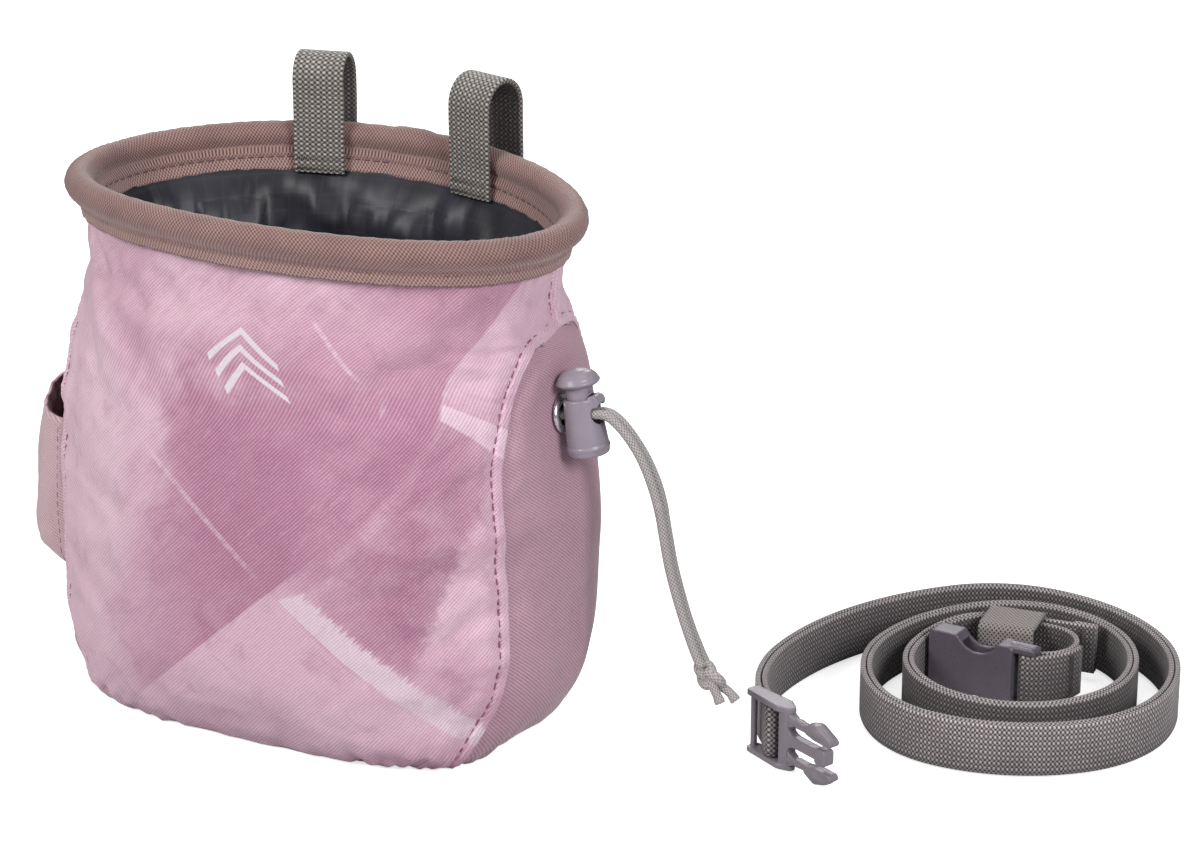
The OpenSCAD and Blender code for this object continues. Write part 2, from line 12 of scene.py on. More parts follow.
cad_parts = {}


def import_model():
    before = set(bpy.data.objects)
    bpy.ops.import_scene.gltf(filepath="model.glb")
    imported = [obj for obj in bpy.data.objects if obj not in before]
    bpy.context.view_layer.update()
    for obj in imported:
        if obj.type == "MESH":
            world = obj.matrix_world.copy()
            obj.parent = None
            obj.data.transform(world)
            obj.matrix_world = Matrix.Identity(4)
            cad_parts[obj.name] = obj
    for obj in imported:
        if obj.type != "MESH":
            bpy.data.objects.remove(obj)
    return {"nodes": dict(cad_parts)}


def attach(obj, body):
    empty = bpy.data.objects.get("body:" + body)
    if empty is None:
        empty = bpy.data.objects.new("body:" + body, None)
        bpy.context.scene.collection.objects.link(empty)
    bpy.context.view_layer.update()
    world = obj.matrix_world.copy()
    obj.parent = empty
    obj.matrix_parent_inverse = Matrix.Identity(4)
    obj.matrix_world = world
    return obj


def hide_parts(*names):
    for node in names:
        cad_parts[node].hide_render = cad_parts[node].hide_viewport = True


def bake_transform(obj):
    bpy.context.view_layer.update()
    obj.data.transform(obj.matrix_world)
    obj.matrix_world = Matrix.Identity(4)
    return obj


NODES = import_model()["nodes"]
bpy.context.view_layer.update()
scene = bpy.context.scene
MM = 0.001
PI = math.pi
UP = np.array([0, 0, 1.0])
rng = np.random.default_rng(11)


# ------------------------------------------------------------------ small maths
def cosd(angle):
    return np.cos(np.radians(angle))


def sind(angle):
    return np.sin(np.radians(angle))


def ease(x):
    """Smooth step from 0 to 1."""
    x = np.clip(x, 0, 1)
    return x * x * (3 - 2 * x)


def bell(x, centre, width):
    return np.exp(-((x - centre) / width) ** 2)


def stack(*parts):
    """Broadcast the parts and stack them as the last axis."""
    return np.stack(np.broadcast_arrays(*parts), -1)


def unit(vectors):
    return vectors / np.linalg.norm(vectors, axis=-1, keepdims=True)


def angle_gap(a, b):
    return (a - b + 180) % 360 - 180


def arc_len(points):
    """Running length down the first axis."""
    steps = np.linalg.norm(np.diff(points, axis=0), axis=-1)
    return np.concatenate([np.zeros((1,) + steps.shape[1:]), np.cumsum(steps, 0)], 0)


def closed_len(points):
    return arc_len(np.concatenate([points, points[:1]]))


def interp_rows(at, stations, points):
    return stack(*[np.interp(at, stations, column) for column in points.T])


def smooth_path(points, rounds):
    for _ in range(rounds):
        points[1:-1] = 0.5 * points[1:-1] + 0.25 * (points[:-2] + points[2:])


def monotone_cubic(stations, values):
    """Monotone cubic curve through the stations."""
    x = np.array(stations, float)
    y = np.array(values, float)
    gap = np.diff(x)
    rise = np.diff(y) / gap
    slope = np.zeros_like(y)
    for i in range(1, len(x) - 1):
        if rise[i - 1] * rise[i] > 0:
            before = 2 * gap[i] + gap[i - 1]
            after = gap[i] + 2 * gap[i - 1]
            slope[i] = (before + after) / (before / rise[i - 1] + after / rise[i])
    slope[0] = rise[0]
    slope[-1] = rise[-1]

    def curve(at):
        at = np.clip(np.asarray(at, float), x[0], x[-1])
        i = np.clip(np.searchsorted(x, at, side="right") - 1, 0, len(x) - 2)
        part = (at - x[i]) / gap[i]
        rest = 1 - part
        return ((1 + 2 * part) * rest * rest * y[i] + part * rest * rest * gap[i] * slope[i]
                + part * part * (3 - 2 * part) * y[i + 1]
                - part * part * rest * gap[i] * slope[i + 1])
    return curve


def value_noise(u, v, cell_u, cell_v, seed, period=256):
    """Smooth seeded noise in -1..1, repeating after period cells of u."""
    grid = np.random.default_rng(seed).uniform(-1, 1, (256, 256))
    u = np.asarray(u, float) / cell_u
    v = np.asarray(v, float) / cell_v
    i = np.floor(u).astype(int)
    j = np.floor(v).astype(int)
    mix_u = u - i
    mix_v = v - j
    mix_u = mix_u * mix_u * (3 - 2 * mix_u)
    mix_v = mix_v * mix_v * (3 - 2 * mix_v)
    i, next_i = i % period, (i + 1) % period
    j, next_j = j % 256, (j + 1) % 256
    near_row = grid[i, j] * (1 - mix_u) + grid[next_i, j] * mix_u
    far_row = grid[i, next_j] * (1 - mix_u) + grid[next_i, next_j] * mix_u
    return near_row * (1 - mix_v) + far_row * mix_v


# ------------------------------------------------------------------ geometry of the bag
BAG_HEIGHT = 150.0
# share of the height, half widths to the side, front and back, superellipse exponent
WALL_STATIONS = np.array([
    (0, 62, 42, 24, 3.5),
    (.02, 66.3, 45, 27, 3.4),
    (.053, 71, 48.5, 31, 3.2),
    (.1, 74.3, 51, 37, 3),
    (.2, 77, 53, 46, 2.85),
    (.4, 77.7, 53.5, 52.5, 2.7),
    (.6, 76, 52, 52.5, 2.55),
    (.733, 73.4, 50.5, 51, 2.35),
    (.8, 71, 49.5, 49.5, 2.25),
    (.867, 69.6, 48.3, 48.3, 2.1),
    (.92, 70.4, 48.3, 48.3, 2.05),
    (1, 73.8, 50.3, 50.3, 2),
])
half_side, half_front, half_back, wall_power = [
    monotone_cubic(WALL_STATIONS[:, 0], column) for column in WALL_STATIONS.T[1:]]
centre_x = monotone_cubic([0, .02, .053, .1, 1], [-3, -2.6, -2.2, -2, -2])
centre_y = monotone_cubic([0, .6, .8, 1], [2, 2, 3, 3])
# turn of the front right seam against the share of the height
seam_turn = monotone_cubic(
    [0, .067, .133, .233, .333, .433, .587, .653, .707, .753, .787, .8, .813, 1],
    [-35, -31.5, -26.5, -23.5, -23.5, -25, -24.8, -22.5, -19.5, -15, -8, -1, 6, 6])

# the mouth line is an ellipse that dips to both sides
MOUTH_A, MOUTH_B = WALL_STATIONS[-1, 1:3]
MOUTH_X, MOUTH_Y = -2.0, 3.0


def mouth_dip(cosine):
    return -0.017 * MOUTH_A * cosine - 3.4 * cosine * cosine


def wall(turn, z, offset=0.0):
    """Points on the shell wall, offset outwards in plan."""
    z = np.asarray(z, float)
    share = z / BAG_HEIGHT
    cosine, sine = cosd(turn), sind(turn)
    power = 2 / wall_power(share)
    half_x = half_side(share) + offset
    half_y = np.where(sine < 0, half_front(share), half_back(share)) + offset
    x = centre_x(share) + half_x * np.sign(cosine) * np.abs(cosine) ** power
    y = centre_y(share) + half_y * np.sign(sine) * np.abs(sine) ** power
    return stack(x, y, z + ease((z - BAG_HEIGHT + 45) / 30) * mouth_dip(cosine))


def seam_turns(z):
    """Turns of the front right, back right, back left and front left seams."""
    z = np.asarray(z, float)
    seam = seam_turn(z / BAG_HEIGHT)
    left_shift = 10 * (1 - ease((z - 96) / 24))
    return seam, 12 - seam, 168 + seam, 180 - seam + left_shift


def mouth(turn):
    cosine = cosd(turn)
    return stack(MOUTH_X + MOUTH_A * cosine, MOUTH_Y + MOUTH_B * sind(turn),
                 BAG_HEIGHT + mouth_dip(cosine))


def heading(turn):
    """Direction of the outward normal of the mouth line."""
    return np.degrees(np.arctan2(sind(turn) / MOUTH_B, cosd(turn) / MOUTH_A))


def lean(turn, z):
    """Outward distance of the wall from the mouth line at z from it."""
    facing = heading(turn)
    share = (BAG_HEIGHT + z) / BAG_HEIGHT
    return ((half_side(share) - MOUTH_A) * cosd(facing) ** 2
            + (half_front(share) - MOUTH_B) * sind(facing) ** 2 - 0.4)


def at_mouth(turn, out, z):
    """Point at outward distance out and height z from the mouth line."""
    facing = heading(turn)
    return mouth(turn) + stack(out * cosd(facing), out * sind(facing), z)


# ------------------------------------------------------------------ mesh helpers
def set_smooth(mesh):
    mesh.polygons.foreach_set("use_smooth", [True] * len(mesh.polygons))
    mesh.update()
    return mesh


def make_mesh(points, faces, uvs=None):
    mesh = bpy.data.meshes.new("tmp")
    mesh.from_pydata((np.asarray(points, float) * MM).tolist(), [], faces)
    if uvs is not None:
        layer = mesh.uv_layers.new(name="UVMap")
        layer.data.foreach_set("uv", np.asarray(uvs, np.float32).ravel())
    return set_smooth(mesh)


def face_outwards(mesh):
    bm = bmesh.new()
    bm.from_mesh(mesh)
    bmesh.ops.recalc_face_normals(bm, faces=bm.faces)
    bm.to_mesh(mesh)
    bm.free()
    return mesh


def add_piece(name, mesh, material, body=None, replaces=()):
    mesh.name = name
    piece = bpy.data.objects.new(name, mesh)
    scene.collection.objects.link(piece)
    mesh.materials.clear()
    mesh.materials.append(material)
    if body:
        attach(piece, body)
    if replaces:
        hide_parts(*replaces)
    return piece


def blend_piece(piece):
    """Bakes the piece's transform into its mesh."""
    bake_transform(piece)


def set_node_material(node, material):
    NODES[node].data.materials.clear()
    NODES[node].data.materials.append(material)


def sweep_mesh(points, uvs, closed=False, strip_cap=False):
    """Closed profile loops (rows, count, 3) carried along the rows.

    uvs has one more column, and one more row when closed. Open ends are capped
    with one face, or with a strip of quads for a folded-back profile.
    """
    rows, count = points.shape[:2]
    i, j = np.meshgrid(np.arange(rows if closed else rows - 1), np.arange(count),
                       indexing="ij")
    next_i, next_j = (i + 1) % rows, (j + 1) % count
    quads = stack(i * count + j, next_i * count + j, next_i * count + next_j,
                  i * count + next_j)
    quad_uvs = np.stack([uvs[i, j], uvs[i + 1, j], uvs[i + 1, j + 1], uvs[i, j + 1]], -2)
    faces = quads.reshape(-1, 4).tolist()
    corner_uvs = [quad_uvs.reshape(-1, 2)]
    if not closed:
        cap = [list(range(count))]
        if strip_cap:
            cap = [[k, k + 1, count - 2 - k, count - 1 - k] for k in range(count // 2 - 1)]
        for row, order in ((0, -1), (rows - 1, 1)):
            for corners in cap:
                corners = corners[::order]
                faces.append([row * count + k for k in corners])
                corner_uvs.append(uvs[row, corners])
    return face_outwards(make_mesh(points.reshape(-1, 3), faces, np.concatenate(corner_uvs)))


def grid_normals(points, closed=False):
    if closed:
        along = np.roll(points, -1, 0) - np.roll(points, 1, 0)
    else:
        along = np.gradient(points, axis=0)
    normals = np.cross(along, np.gradient(points, axis=1))
    return normals / (np.linalg.norm(normals, axis=-1, keepdims=True) + 1e-12)


def turned(normals, i, j, towards):
    """The normals, flipped if needed so that the one at i, j points towards a direction."""
    return normals if normals[i, j] @ np.array(towards) > 0 else -normals


def sheet_mesh(points, uvs, thickness, normals, closed=False):
    """Thin solid sheet that goes a thickness against the normals."""
    loops = np.concatenate([points, (points - normals * thickness)[:, ::-1]], 1)
    loop_uvs = np.concatenate([uvs, uvs[:, ::-1], uvs[:, :1]], 1)
    return sweep_mesh(loops, loop_uvs, closed, strip_cap=True)


def frames_along(path, across, closed=False):
    """Two unit normals of a path: one square to across, one leaning to it."""
    tangent = unit(np.gradient(path, axis=0))
    if closed:
        tangent[0] = tangent[-1] = unit(path[1] - path[-2])
    across = np.asarray(across, float) * np.ones_like(tangent)
    across = unit(across - (across * tangent).sum(1, keepdims=True) * tangent)
    return np.cross(across, tangent), across


def catmull(points, step):
    """Smooth resampled path through points."""
    points = np.asarray(points, float)
    ends = 2 * points[0] - points[1], 2 * points[-1] - points[-2]
    knots = np.concatenate([ends[:1], points, ends[1:]])
    out = []
    for i in range(1, len(knots) - 2):
        before, here, after, beyond = knots[i - 1:i + 3]
        count = max(2, int(np.linalg.norm(after - here) / step))
        for k in range(count):
            t = k / count
            out.append(0.5 * ((2 * here) + (-before + after) * t
                              + (2 * before - 5 * here + 4 * after - beyond) * t ** 2
                              + (-before + 3 * here - 3 * after + beyond) * t ** 3))
    out.append(points[-1])
    return np.array(out)


def tube_mesh(path, radius, across=(0, 1, 0), sides=16, closed=False):
    """Round tube; a closed path repeats its first point at the end."""
    radius = np.asarray(radius, float) * np.ones(len(path))
    out, across = frames_along(path, across, closed)
    angle = np.arange(sides + 1) * 2 * PI / sides
    ring = angle[None, :-1, None]
    points = path[:, None] + radius[:, None, None] * (
        np.cos(ring) * out[:, None] + np.sin(ring) * across[:, None])
    if closed:
        points = points[:-1]
    return sweep_mesh(points, stack(arc_len(path)[:, None], angle * radius.max()), closed)


def lathe_mesh(profile, sides=64):
    """A closed profile of (radius, z) turned about the z axis."""
    profile = np.asarray(profile, float)
    angle = np.arange(sides + 1) * 2 * PI / sides
    ring = angle[:-1, None]
    points = stack(profile[:, 0] * np.cos(ring), profile[:, 0] * np.sin(ring), profile[:, 1])
    run = np.concatenate([arc_len(profile), [0]])
    return sweep_mesh(points, stack(angle[:, None] * 5, run), True)


def join(meshes):
    bm = bmesh.new()
    for mesh in meshes:
        bm.from_mesh(mesh)
    out = bpy.data.meshes.new("tmp")
    bm.to_mesh(out)
    bm.free()
    return set_smooth(out)


def placed(mesh, matrix):
    mesh.transform(matrix)
    mesh.update()
    return mesh


def shift_by(x, y, z):
    return Matrix.Translation(Vector((x, y, z)) * MM)


def rotation(degrees, axis, size=4):
    return Matrix.Rotation(math.radians(degrees), size, axis)


def prism(outline, y_low, y_high):
    """Closed prism: an outline of (x, z) pushed from y_low to y_high."""
    count = len(outline)
    points = [(x, y, z) for y in (y_low, y_high) for x, z in outline]
    faces = [list(range(count))[::-1], list(range(count, 2 * count))]
    faces += [[i, (i + 1) % count, count + (i + 1) % count, count + i] for i in range(count)]
    return face_outwards(make_mesh(points, faces))


def hull(circles):
    """Convex outline round circles of (x, z, radius)."""
    points = set()
    for x, z, radius in circles:
        for k in range(20):
            angle = 2 * PI * k / 20
            points.add((round(x + radius * math.cos(angle), 5),
                        round(z + radius * math.sin(angle), 5)))
    points = sorted(points)

    def half(ordered):
        chain = []
        for p in ordered:
            while len(chain) > 1:
                a, b = chain[-2:]
                if (b[0] - a[0]) * (p[1] - a[1]) - (b[1] - a[1]) * (p[0] - a[0]) > 0:
                    break
                chain.pop()
            chain.append(p)
        return chain[:-1]
    return half(points) + half(points[::-1])


def slab(x_low, x_high, thickness, z_low, z_high, radius, y=0.0):
    """Plate in the x-z plane with round corners."""
    corners = [(x, z, radius) for x in (x_low + radius, x_high - radius)
               for z in (z_low + radius, z_high - radius)]
    return prism(hull(corners), y - thickness / 2, y + thickness / 2)


def plate(circles, z_low, z_high):
    """Plate in the x-y plane round circles of (x, y, radius)."""
    mesh = prism(hull(circles), z_low, z_high)
    mesh.transform(Matrix(((1, 0, 0, 0), (0, 0, 1, 0), (0, 1, 0, 0), (0, 0, 0, 1))))
    return face_outwards(mesh)


def rod(start, end, radius):
    path = np.linspace(np.array(start, float), np.array(end, float), 6)
    return tube_mesh(path, radius, sides=20)


def node_mesh(name):
    """Welded copy of a frame piece."""
    bm = bmesh.new()
    bm.from_mesh(NODES[name].data)
    bmesh.ops.remove_doubles(bm, verts=bm.verts, dist=1e-6)
    mesh = bpy.data.meshes.new("tmp")
    bm.to_mesh(mesh)
    bm.free()
    return mesh


def soften(meshes, voxel, rounds):
    """Union of closed meshes with small rounded edges, like a moulding."""
    block = bpy.data.objects.new("tmp_soft", join(meshes))
    scene.collection.objects.link(block)
    remesh = block.modifiers.new("r", "REMESH")
    remesh.mode = "VOXEL"
    remesh.voxel_size = voxel * MM
    remesh.adaptivity = 0.0
    smooth = block.modifiers.new("s", "SMOOTH")
    smooth.factor = 0.5
    smooth.iterations = rounds
    graph = bpy.context.evaluated_depsgraph_get()
    graph.update()
    out = bpy.data.meshes.new_from_object(block.evaluated_get(graph), depsgraph=graph)
    bpy.data.objects.remove(block)
    return set_smooth(out)


# ------------------------------------------------------------------ material tools
def srgb(*levels):
    """Linear colour from 0..255 sRGB levels."""
    linear = []
    for level in levels:
        level /= 255.0
        linear.append(level / 12.92 if level <= 0.04045 else ((level + 0.055) / 1.055) ** 2.4)
    return (*linear, 1.0)


def shade(levels, factor):
    return [min(255, int(level * factor)) for level in levels]


class Value:
    """A number inside a material; arithmetic on it adds maths nodes."""

    def __init__(self, mat, socket):
        self.mat = mat
        self.socket = socket

    def math(self, operation, *others):
        return self.mat.math(operation, self, *others)

    def __add__(self, other):
        return self.math("ADD", other)

    def __sub__(self, other):
        return self.math("SUBTRACT", other)

    def __rsub__(self, other):
        return self.mat.math("SUBTRACT", other, self)

    def __mul__(self, other):
        return self.math("MULTIPLY", other)

    def __pow__(self, other):
        return self.math("POWER", other)

    def __abs__(self):
        return self.math("ABSOLUTE")

    def max(self, other):
        return self.math("MAXIMUM", other)

    def signed(self):
        """From 0..1 to -1..1."""
        return self.math("MULTIPLY_ADD", 2.0, -1.0)

    def wave(self, period, phase=0.0):
        """Cosine wave in 0..1, with its period in mm."""
        angle = self.math("MULTIPLY_ADD", 2 * PI / period, phase)
        return angle.math("COSINE").math("MULTIPLY_ADD", 0.5, 0.5)

    def map_range(self, *limits, **settings):
        inputs = dict(enumerate((self, *limits)))
        return Value(self.mat, self.mat.node("ShaderNodeMapRange", inputs, **settings).outputs[0])

    def fade(self, start, end):
        """Smooth rise from 0 at start to 1 at end."""
        return self.map_range(start, end, interpolation_type="SMOOTHSTEP")

    def drop(self, start, end):
        """Smooth fall from 1 at start to 0 at end."""
        return 1.0 - self.fade(start, end)

    def lerp(self, start, end, at_start, at_end):
        """Straight change from at_start to at_end, clamped."""
        return self.map_range(start, end, at_start, at_end)


class Mat:
    """A material under construction; paint() lays colours over the first one."""

    def __init__(self, name, colour=None):
        self.material = bpy.data.materials.new(name)
        self.material.use_nodes = True
        self.tree = self.material.node_tree
        self.tree.nodes.clear()
        output = self.tree.nodes.new("ShaderNodeOutputMaterial")
        self.shader = self.tree.nodes.new("ShaderNodeBsdfPrincipled")
        self.tree.links.new(self.shader.outputs[0], output.inputs[0])
        self.colour = colour and srgb(*colour)

    def put(self, socket, value):
        if isinstance(value, Value):
            value = value.socket
        if isinstance(value, bpy.types.NodeSocket):
            self.tree.links.new(value, socket)
        else:
            socket.default_value = value

    def node(self, kind, inputs, **settings):
        node = self.tree.nodes.new(kind)
        for name, value in settings.items():
            setattr(node, name, value)
        for key, value in inputs.items():
            self.put(node.inputs[key], value)
        return node

    def math(self, operation, *values):
        inputs = dict(enumerate(values))
        return Value(self, self.node("ShaderNodeMath", inputs, operation=operation).outputs[0])

    def mix(self, mask, under, over):
        return self.node("ShaderNodeMix", {0: mask, 6: under, 7: over},
                         data_type="RGBA", blend_type="MIX").outputs[2]

    def paint(self, colour, mask):
        self.colour = self.mix(mask, self.colour, srgb(*colour))

    def uv_vector(self):
        return self.node("ShaderNodeUVMap", {}, uv_map="UVMap").outputs[0]

    def uv(self):
        """The UV vector and its two parts, in mm."""
        vector = self.uv_vector()
        parts = self.node("ShaderNodeSeparateXYZ", {0: vector}).outputs
        return vector, Value(self, parts[0]), Value(self, parts[1])

    def object_vector(self):
        """Object coordinates in mm."""
        vector = self.node("ShaderNodeTexCoord", {}).outputs["Object"]
        return self.node("ShaderNodeVectorMath", {0: vector, "Scale": 1000.0},
                         operation="SCALE").outputs[0]

    def noise(self, vector, scale, detail=2.0, rough=0.5, distortion=0.0):
        inputs = {"Vector": vector, "Scale": scale, "Detail": detail, "Roughness": rough,
                  "Distortion": distortion}
        return Value(self, self.node("ShaderNodeTexNoise", inputs).outputs[0])

    def combine(self, x, y):
        return self.node("ShaderNodeCombineXYZ", {0: x, 1: y}).outputs[0]

    def bump(self, height, distance, strength, normal=None):
        """Bump of a distance in mm."""
        inputs = {"Strength": strength, "Distance": distance * MM, "Height": height}
        if normal is not None:
            inputs["Normal"] = normal
        return self.node("ShaderNodeBump", inputs).outputs[0]

    def finish(self, rough, normal, sheen=0.0, metal=0.0, spec=0.5, tint=(255, 255, 255),
               subsurface=0.0):
        values = {"Base Color": self.colour, "Roughness": rough, "Metallic": metal,
                  "Sheen Weight": sheen, "Sheen Tint": srgb(*tint),
                  "Specular IOR Level": spec, "Normal": normal}
        if subsurface:
            values["Subsurface Weight"] = subsurface
            values["Subsurface Scale"] = 0.0008
        for name, value in values.items():
            self.put(self.shader.inputs[name], value)
        return self.material


def slanted(u, v, angle):
    """Coordinate across lines that run at an angle from u."""
    return u * -math.sin(math.radians(angle)) + v * math.cos(math.radians(angle))


def knobs(u, v, pitch_u, pitch_v):
    """Two nets of knobs, the second set between the knobs of the first."""
    return [u.wave(pitch_u, phase) * v.wave(pitch_v, phase) for phase in (0.0, PI)]


# ------------------------------------------------------------------ materials
def print_material(name, peak_strength):
    """Watery rose print on twill, with straight-edged fields, pale bands and a mark.

    u runs from the middle of the panel and v up from the floor, both in mm.
    """
    mat = Mat(name, (226, 193, 207))
    mid, dark, deep = (208, 166, 185), (178, 123, 149), (156, 96, 125)
    vector, u, v = mat.uv()
    rising, falling = [slanted(u, v, angle) for angle in (45, -45)]
    big = mat.noise(vector, 0.022, 3, 0.55, 0.6)
    fine = mat.noise(vector, 0.09, 4, 0.6, 0.8)
    grain = mat.noise(vector, 1.2, 2, 0.6)
    brush = mat.noise(mat.combine(rising * 0.35, falling * 0.06), 1.0, 4, 0.65, 0.4)
    rising, falling = [slanted(u, v, angle) for angle in (45, -45)]
    torn = mat.noise(mat.combine(rising * 1.1, falling * 0.10), 1.0, 4, 0.75, 0.3).signed() * 5.5
    ragged = mat.noise(vector, 0.35, 4, 0.7).signed() * 1.6

    def side(x0, y0, x1, y1, wobble):
        """Distance to the left of a directed line, made ragged by wobble."""
        length = math.hypot(x1 - x0, y1 - y0)
        normal_x, normal_y = -(y1 - y0) / length, (x1 - x0) / length
        distance = u * normal_x + v * normal_y + -(x0 * normal_x + y0 * normal_y)
        return distance + ragged * wobble

    def streak(x0, y0, x1, y1, width, strength):
        """Thin line that fades at both ends."""
        length = math.hypot(x1 - x0, y1 - y0)
        distance = abs(side(x0, y0, x1, y1, 0.15))
        dir_x, dir_y = (x1 - x0) / length, (y1 - y0) / length
        run = u * dir_x + v * dir_y + -(x0 * dir_x + y0 * dir_y)
        return (distance.drop(width * 0.5, width * 1.5) * run.fade(0, length * 0.15)
                * run.drop(length * 0.75, length) * strength)

    mat.paint(mid, (big * 0.7 + brush * 0.5).fade(0.42, 0.74))
    # paler wash on the far left and in the upper left corner
    corner = side(-45.9, 112.7, -22.8, 97.8, 0.5).drop(-4, 14) * u.drop(-60, -20)
    mat.paint((234, 205, 218), u.drop(-82, -40).max(corner) * 0.65)
    # darker rose cloud in the middle
    cloud = ((big + fine * 0.35).fade(0.40, 0.80) * u.fade(-52, -8) * u.drop(46, 70)
             * v.fade(46, 72) * v.drop(104, 128))
    mat.paint(dark, cloud * 1.0)
    mat.paint(deep, cloud * brush.fade(0.40, 0.7) * 0.6)
    # darker field above the straight edge at the lower left
    low = side(-42.1, 15.9, 2.2, 53.3, 0.05)
    above = low.fade(-0.3, 0.3) * low.drop(16, 58) * u.drop(4, 46) * u.fade(-66, -16)
    mat.paint(dark, above * fine.lerp(0.3, 0.7, 0.7, 1.0))
    mat.paint(deep, above * (big + brush * 0.3).fade(0.5, 0.85) * 0.4)
    # straight edge at the upper right, darker on its left
    edge = side(60.0, 112.2, 83.8, 141.4, 0.05)
    mat.paint(dark, edge.fade(-0.5, 0.5) * edge.drop(12, 50) * v.fade(66, 95) * 0.62)
    mat.paint((222, 190, 206), edge.drop(-0.5, 0.5) * v.fade(96, 112) * 0.6)
    # rose field right of the middle: fades left, soft ragged right edge
    across = u + ragged * 2.4 + v.lerp(34, 85, 20.0, -2.0)
    field = across.drop(60.0, 64.0) * across.fade(18, 56) * v.fade(26, 44) * v.drop(84, 104)
    mat.paint(deep, field * fine.lerp(0.3, 0.7, 0.62, 0.95) * u.lerp(40, 62, 1.0, 0.6))
    # upper lilac band
    band = (side(53.5, 103.3, 77.3, 83.6, 0.05).fade(-0.3, 0.3)
            * side(56.3, 107.4, 76.9, 94.2, 0.1).drop(-0.3, 0.4)
            * side(56.3, 107.4, 53.5, 103.3, 0.1).fade(-0.3, 0.3))
    mat.paint((232, 203, 217), band * 0.9)
    # lower band with a torn upper edge
    torn_band = (side(5.2, 51.8, 59, 5.9, 0.04).fade(-0.25, 0.25)
                 * (side(13.0, 54.5, 66, 9.2, 0.5) + torn).drop(-0.5, 0.9)
                 * (side(14.5, 55.8, 5.2, 51.8, 0.3) + torn * -0.3).fade(-0.4, 0.4))
    # brushed light field under it, rose shadow along its upper side
    under = side(5.2, 51.8, 59, 5.9, 0.3)
    mat.paint((219, 183, 199), under.drop(-1.5, 0.2) * (0.0 - low).fade(-0.5, 0.4)
              * brush.lerp(0.3, 0.7, 0.4, 0.95))
    shadow = (under.fade(5.0, 9.0) * under.drop(12, 26) * u.fade(14, 24) * v.drop(50, 60)
              * fine.lerp(0.35, 0.65, 0.3, 1.0))
    mat.paint(dark, shadow * 0.55)
    mat.paint((226, 205, 216), torn_band * 0.95)
    # darker rose along the bottom
    mat.paint(dark, (v + ragged * 1.5).drop(2, 17) * u.fade(8, 40) * 0.6)
    # thin bright streaks
    streaks = streak(-37, 90, 1, 55, 0.8, 0.5).max(streak(24.9, 130.2, 39.7, 112.5, 0.6, 0.6))
    streaks = streaks.max(streak(60, 112.2, 53.5, 103.3, 0.5, 0.35)
                          .max(streak(-62, 120, -38, 91, 0.5, 0.4)))
    mat.paint((236, 212, 224),
              streaks * mat.noise(vector, 0.5, 3, 0.6).lerp(0.38, 0.6, 0.35, 1.0))
    # watery stains and dry-brush grain
    mat.paint(deep, fine.fade(0.50, 0.74) * 0.30)
    mat.paint((230, 202, 215), brush.fade(0.56, 0.8) * 0.38)
    # mark of three nested peaks in a pale print
    across = abs(u - 6.0)
    height = v - 119.5
    peaks = None
    for k in range(3):
        distance = abs(height + across * 0.80 - (4.6 - 4.6 * k))
        peak = distance.drop(0.85, 1.05) * across.drop(10.5 - 0.6 * k, 10.7 - 0.6 * k)
        peaks = peak if peaks is None else peaks.max(peak)
    mark = peaks * mat.noise(vector, 0.8, 3).lerp(0.35, 0.6, 0.84, 0.95) * peak_strength
    mat.paint((224, 219, 223), mark)
    # twill: fine diagonal lines rising to the right
    twill = slanted(u, v, 43).wave(0.76) * 0.8 + slanted(u, v, -40).wave(0.9) * 0.2
    twill = twill * 0.75 + grain * 0.45
    mat.paint((138, 80, 107), twill.lerp(0.15, 0.70, 0.38, 0.0) * (1.0 - mark * 0.75))
    mat.paint((242, 220, 230), twill.lerp(0.70, 1.0, 0.0, 0.34))
    rough = mat.noise(vector, 0.15).lerp(0.3, 0.7, 0.62, 0.78)
    return mat.finish(rough, mat.bump(twill, 0.16, 0.8), sheen=0.25, tint=(250, 225, 235),
                      spec=0.3)


def twill_material(name, base, dark, angle):
    pitch = 0.8
    mat = Mat(name, base)
    vector, u, v = mat.uv()
    twill = (slanted(u, v, angle).wave(pitch) * 0.6
             + slanted(u, v, angle + 96).wave(pitch * 1.15) * 0.15
             + mat.noise(vector, 1.3, 2) * 0.45)
    mat.paint(dark, mat.noise(vector, 0.05, 3, 0.6, 0.5).fade(0.4, 0.7) * 0.12)
    mat.paint(dark, mat.noise(vector, 0.02, 3, 0.55, 0.8).fade(0.4, 0.7) * 0.2)
    mat.paint(dark, twill.lerp(0.2, 0.78, 0.66, 0.0))
    return mat.finish(0.75, mat.bump(twill, 0.12, 0.7), sheen=0.25, spec=0.3)


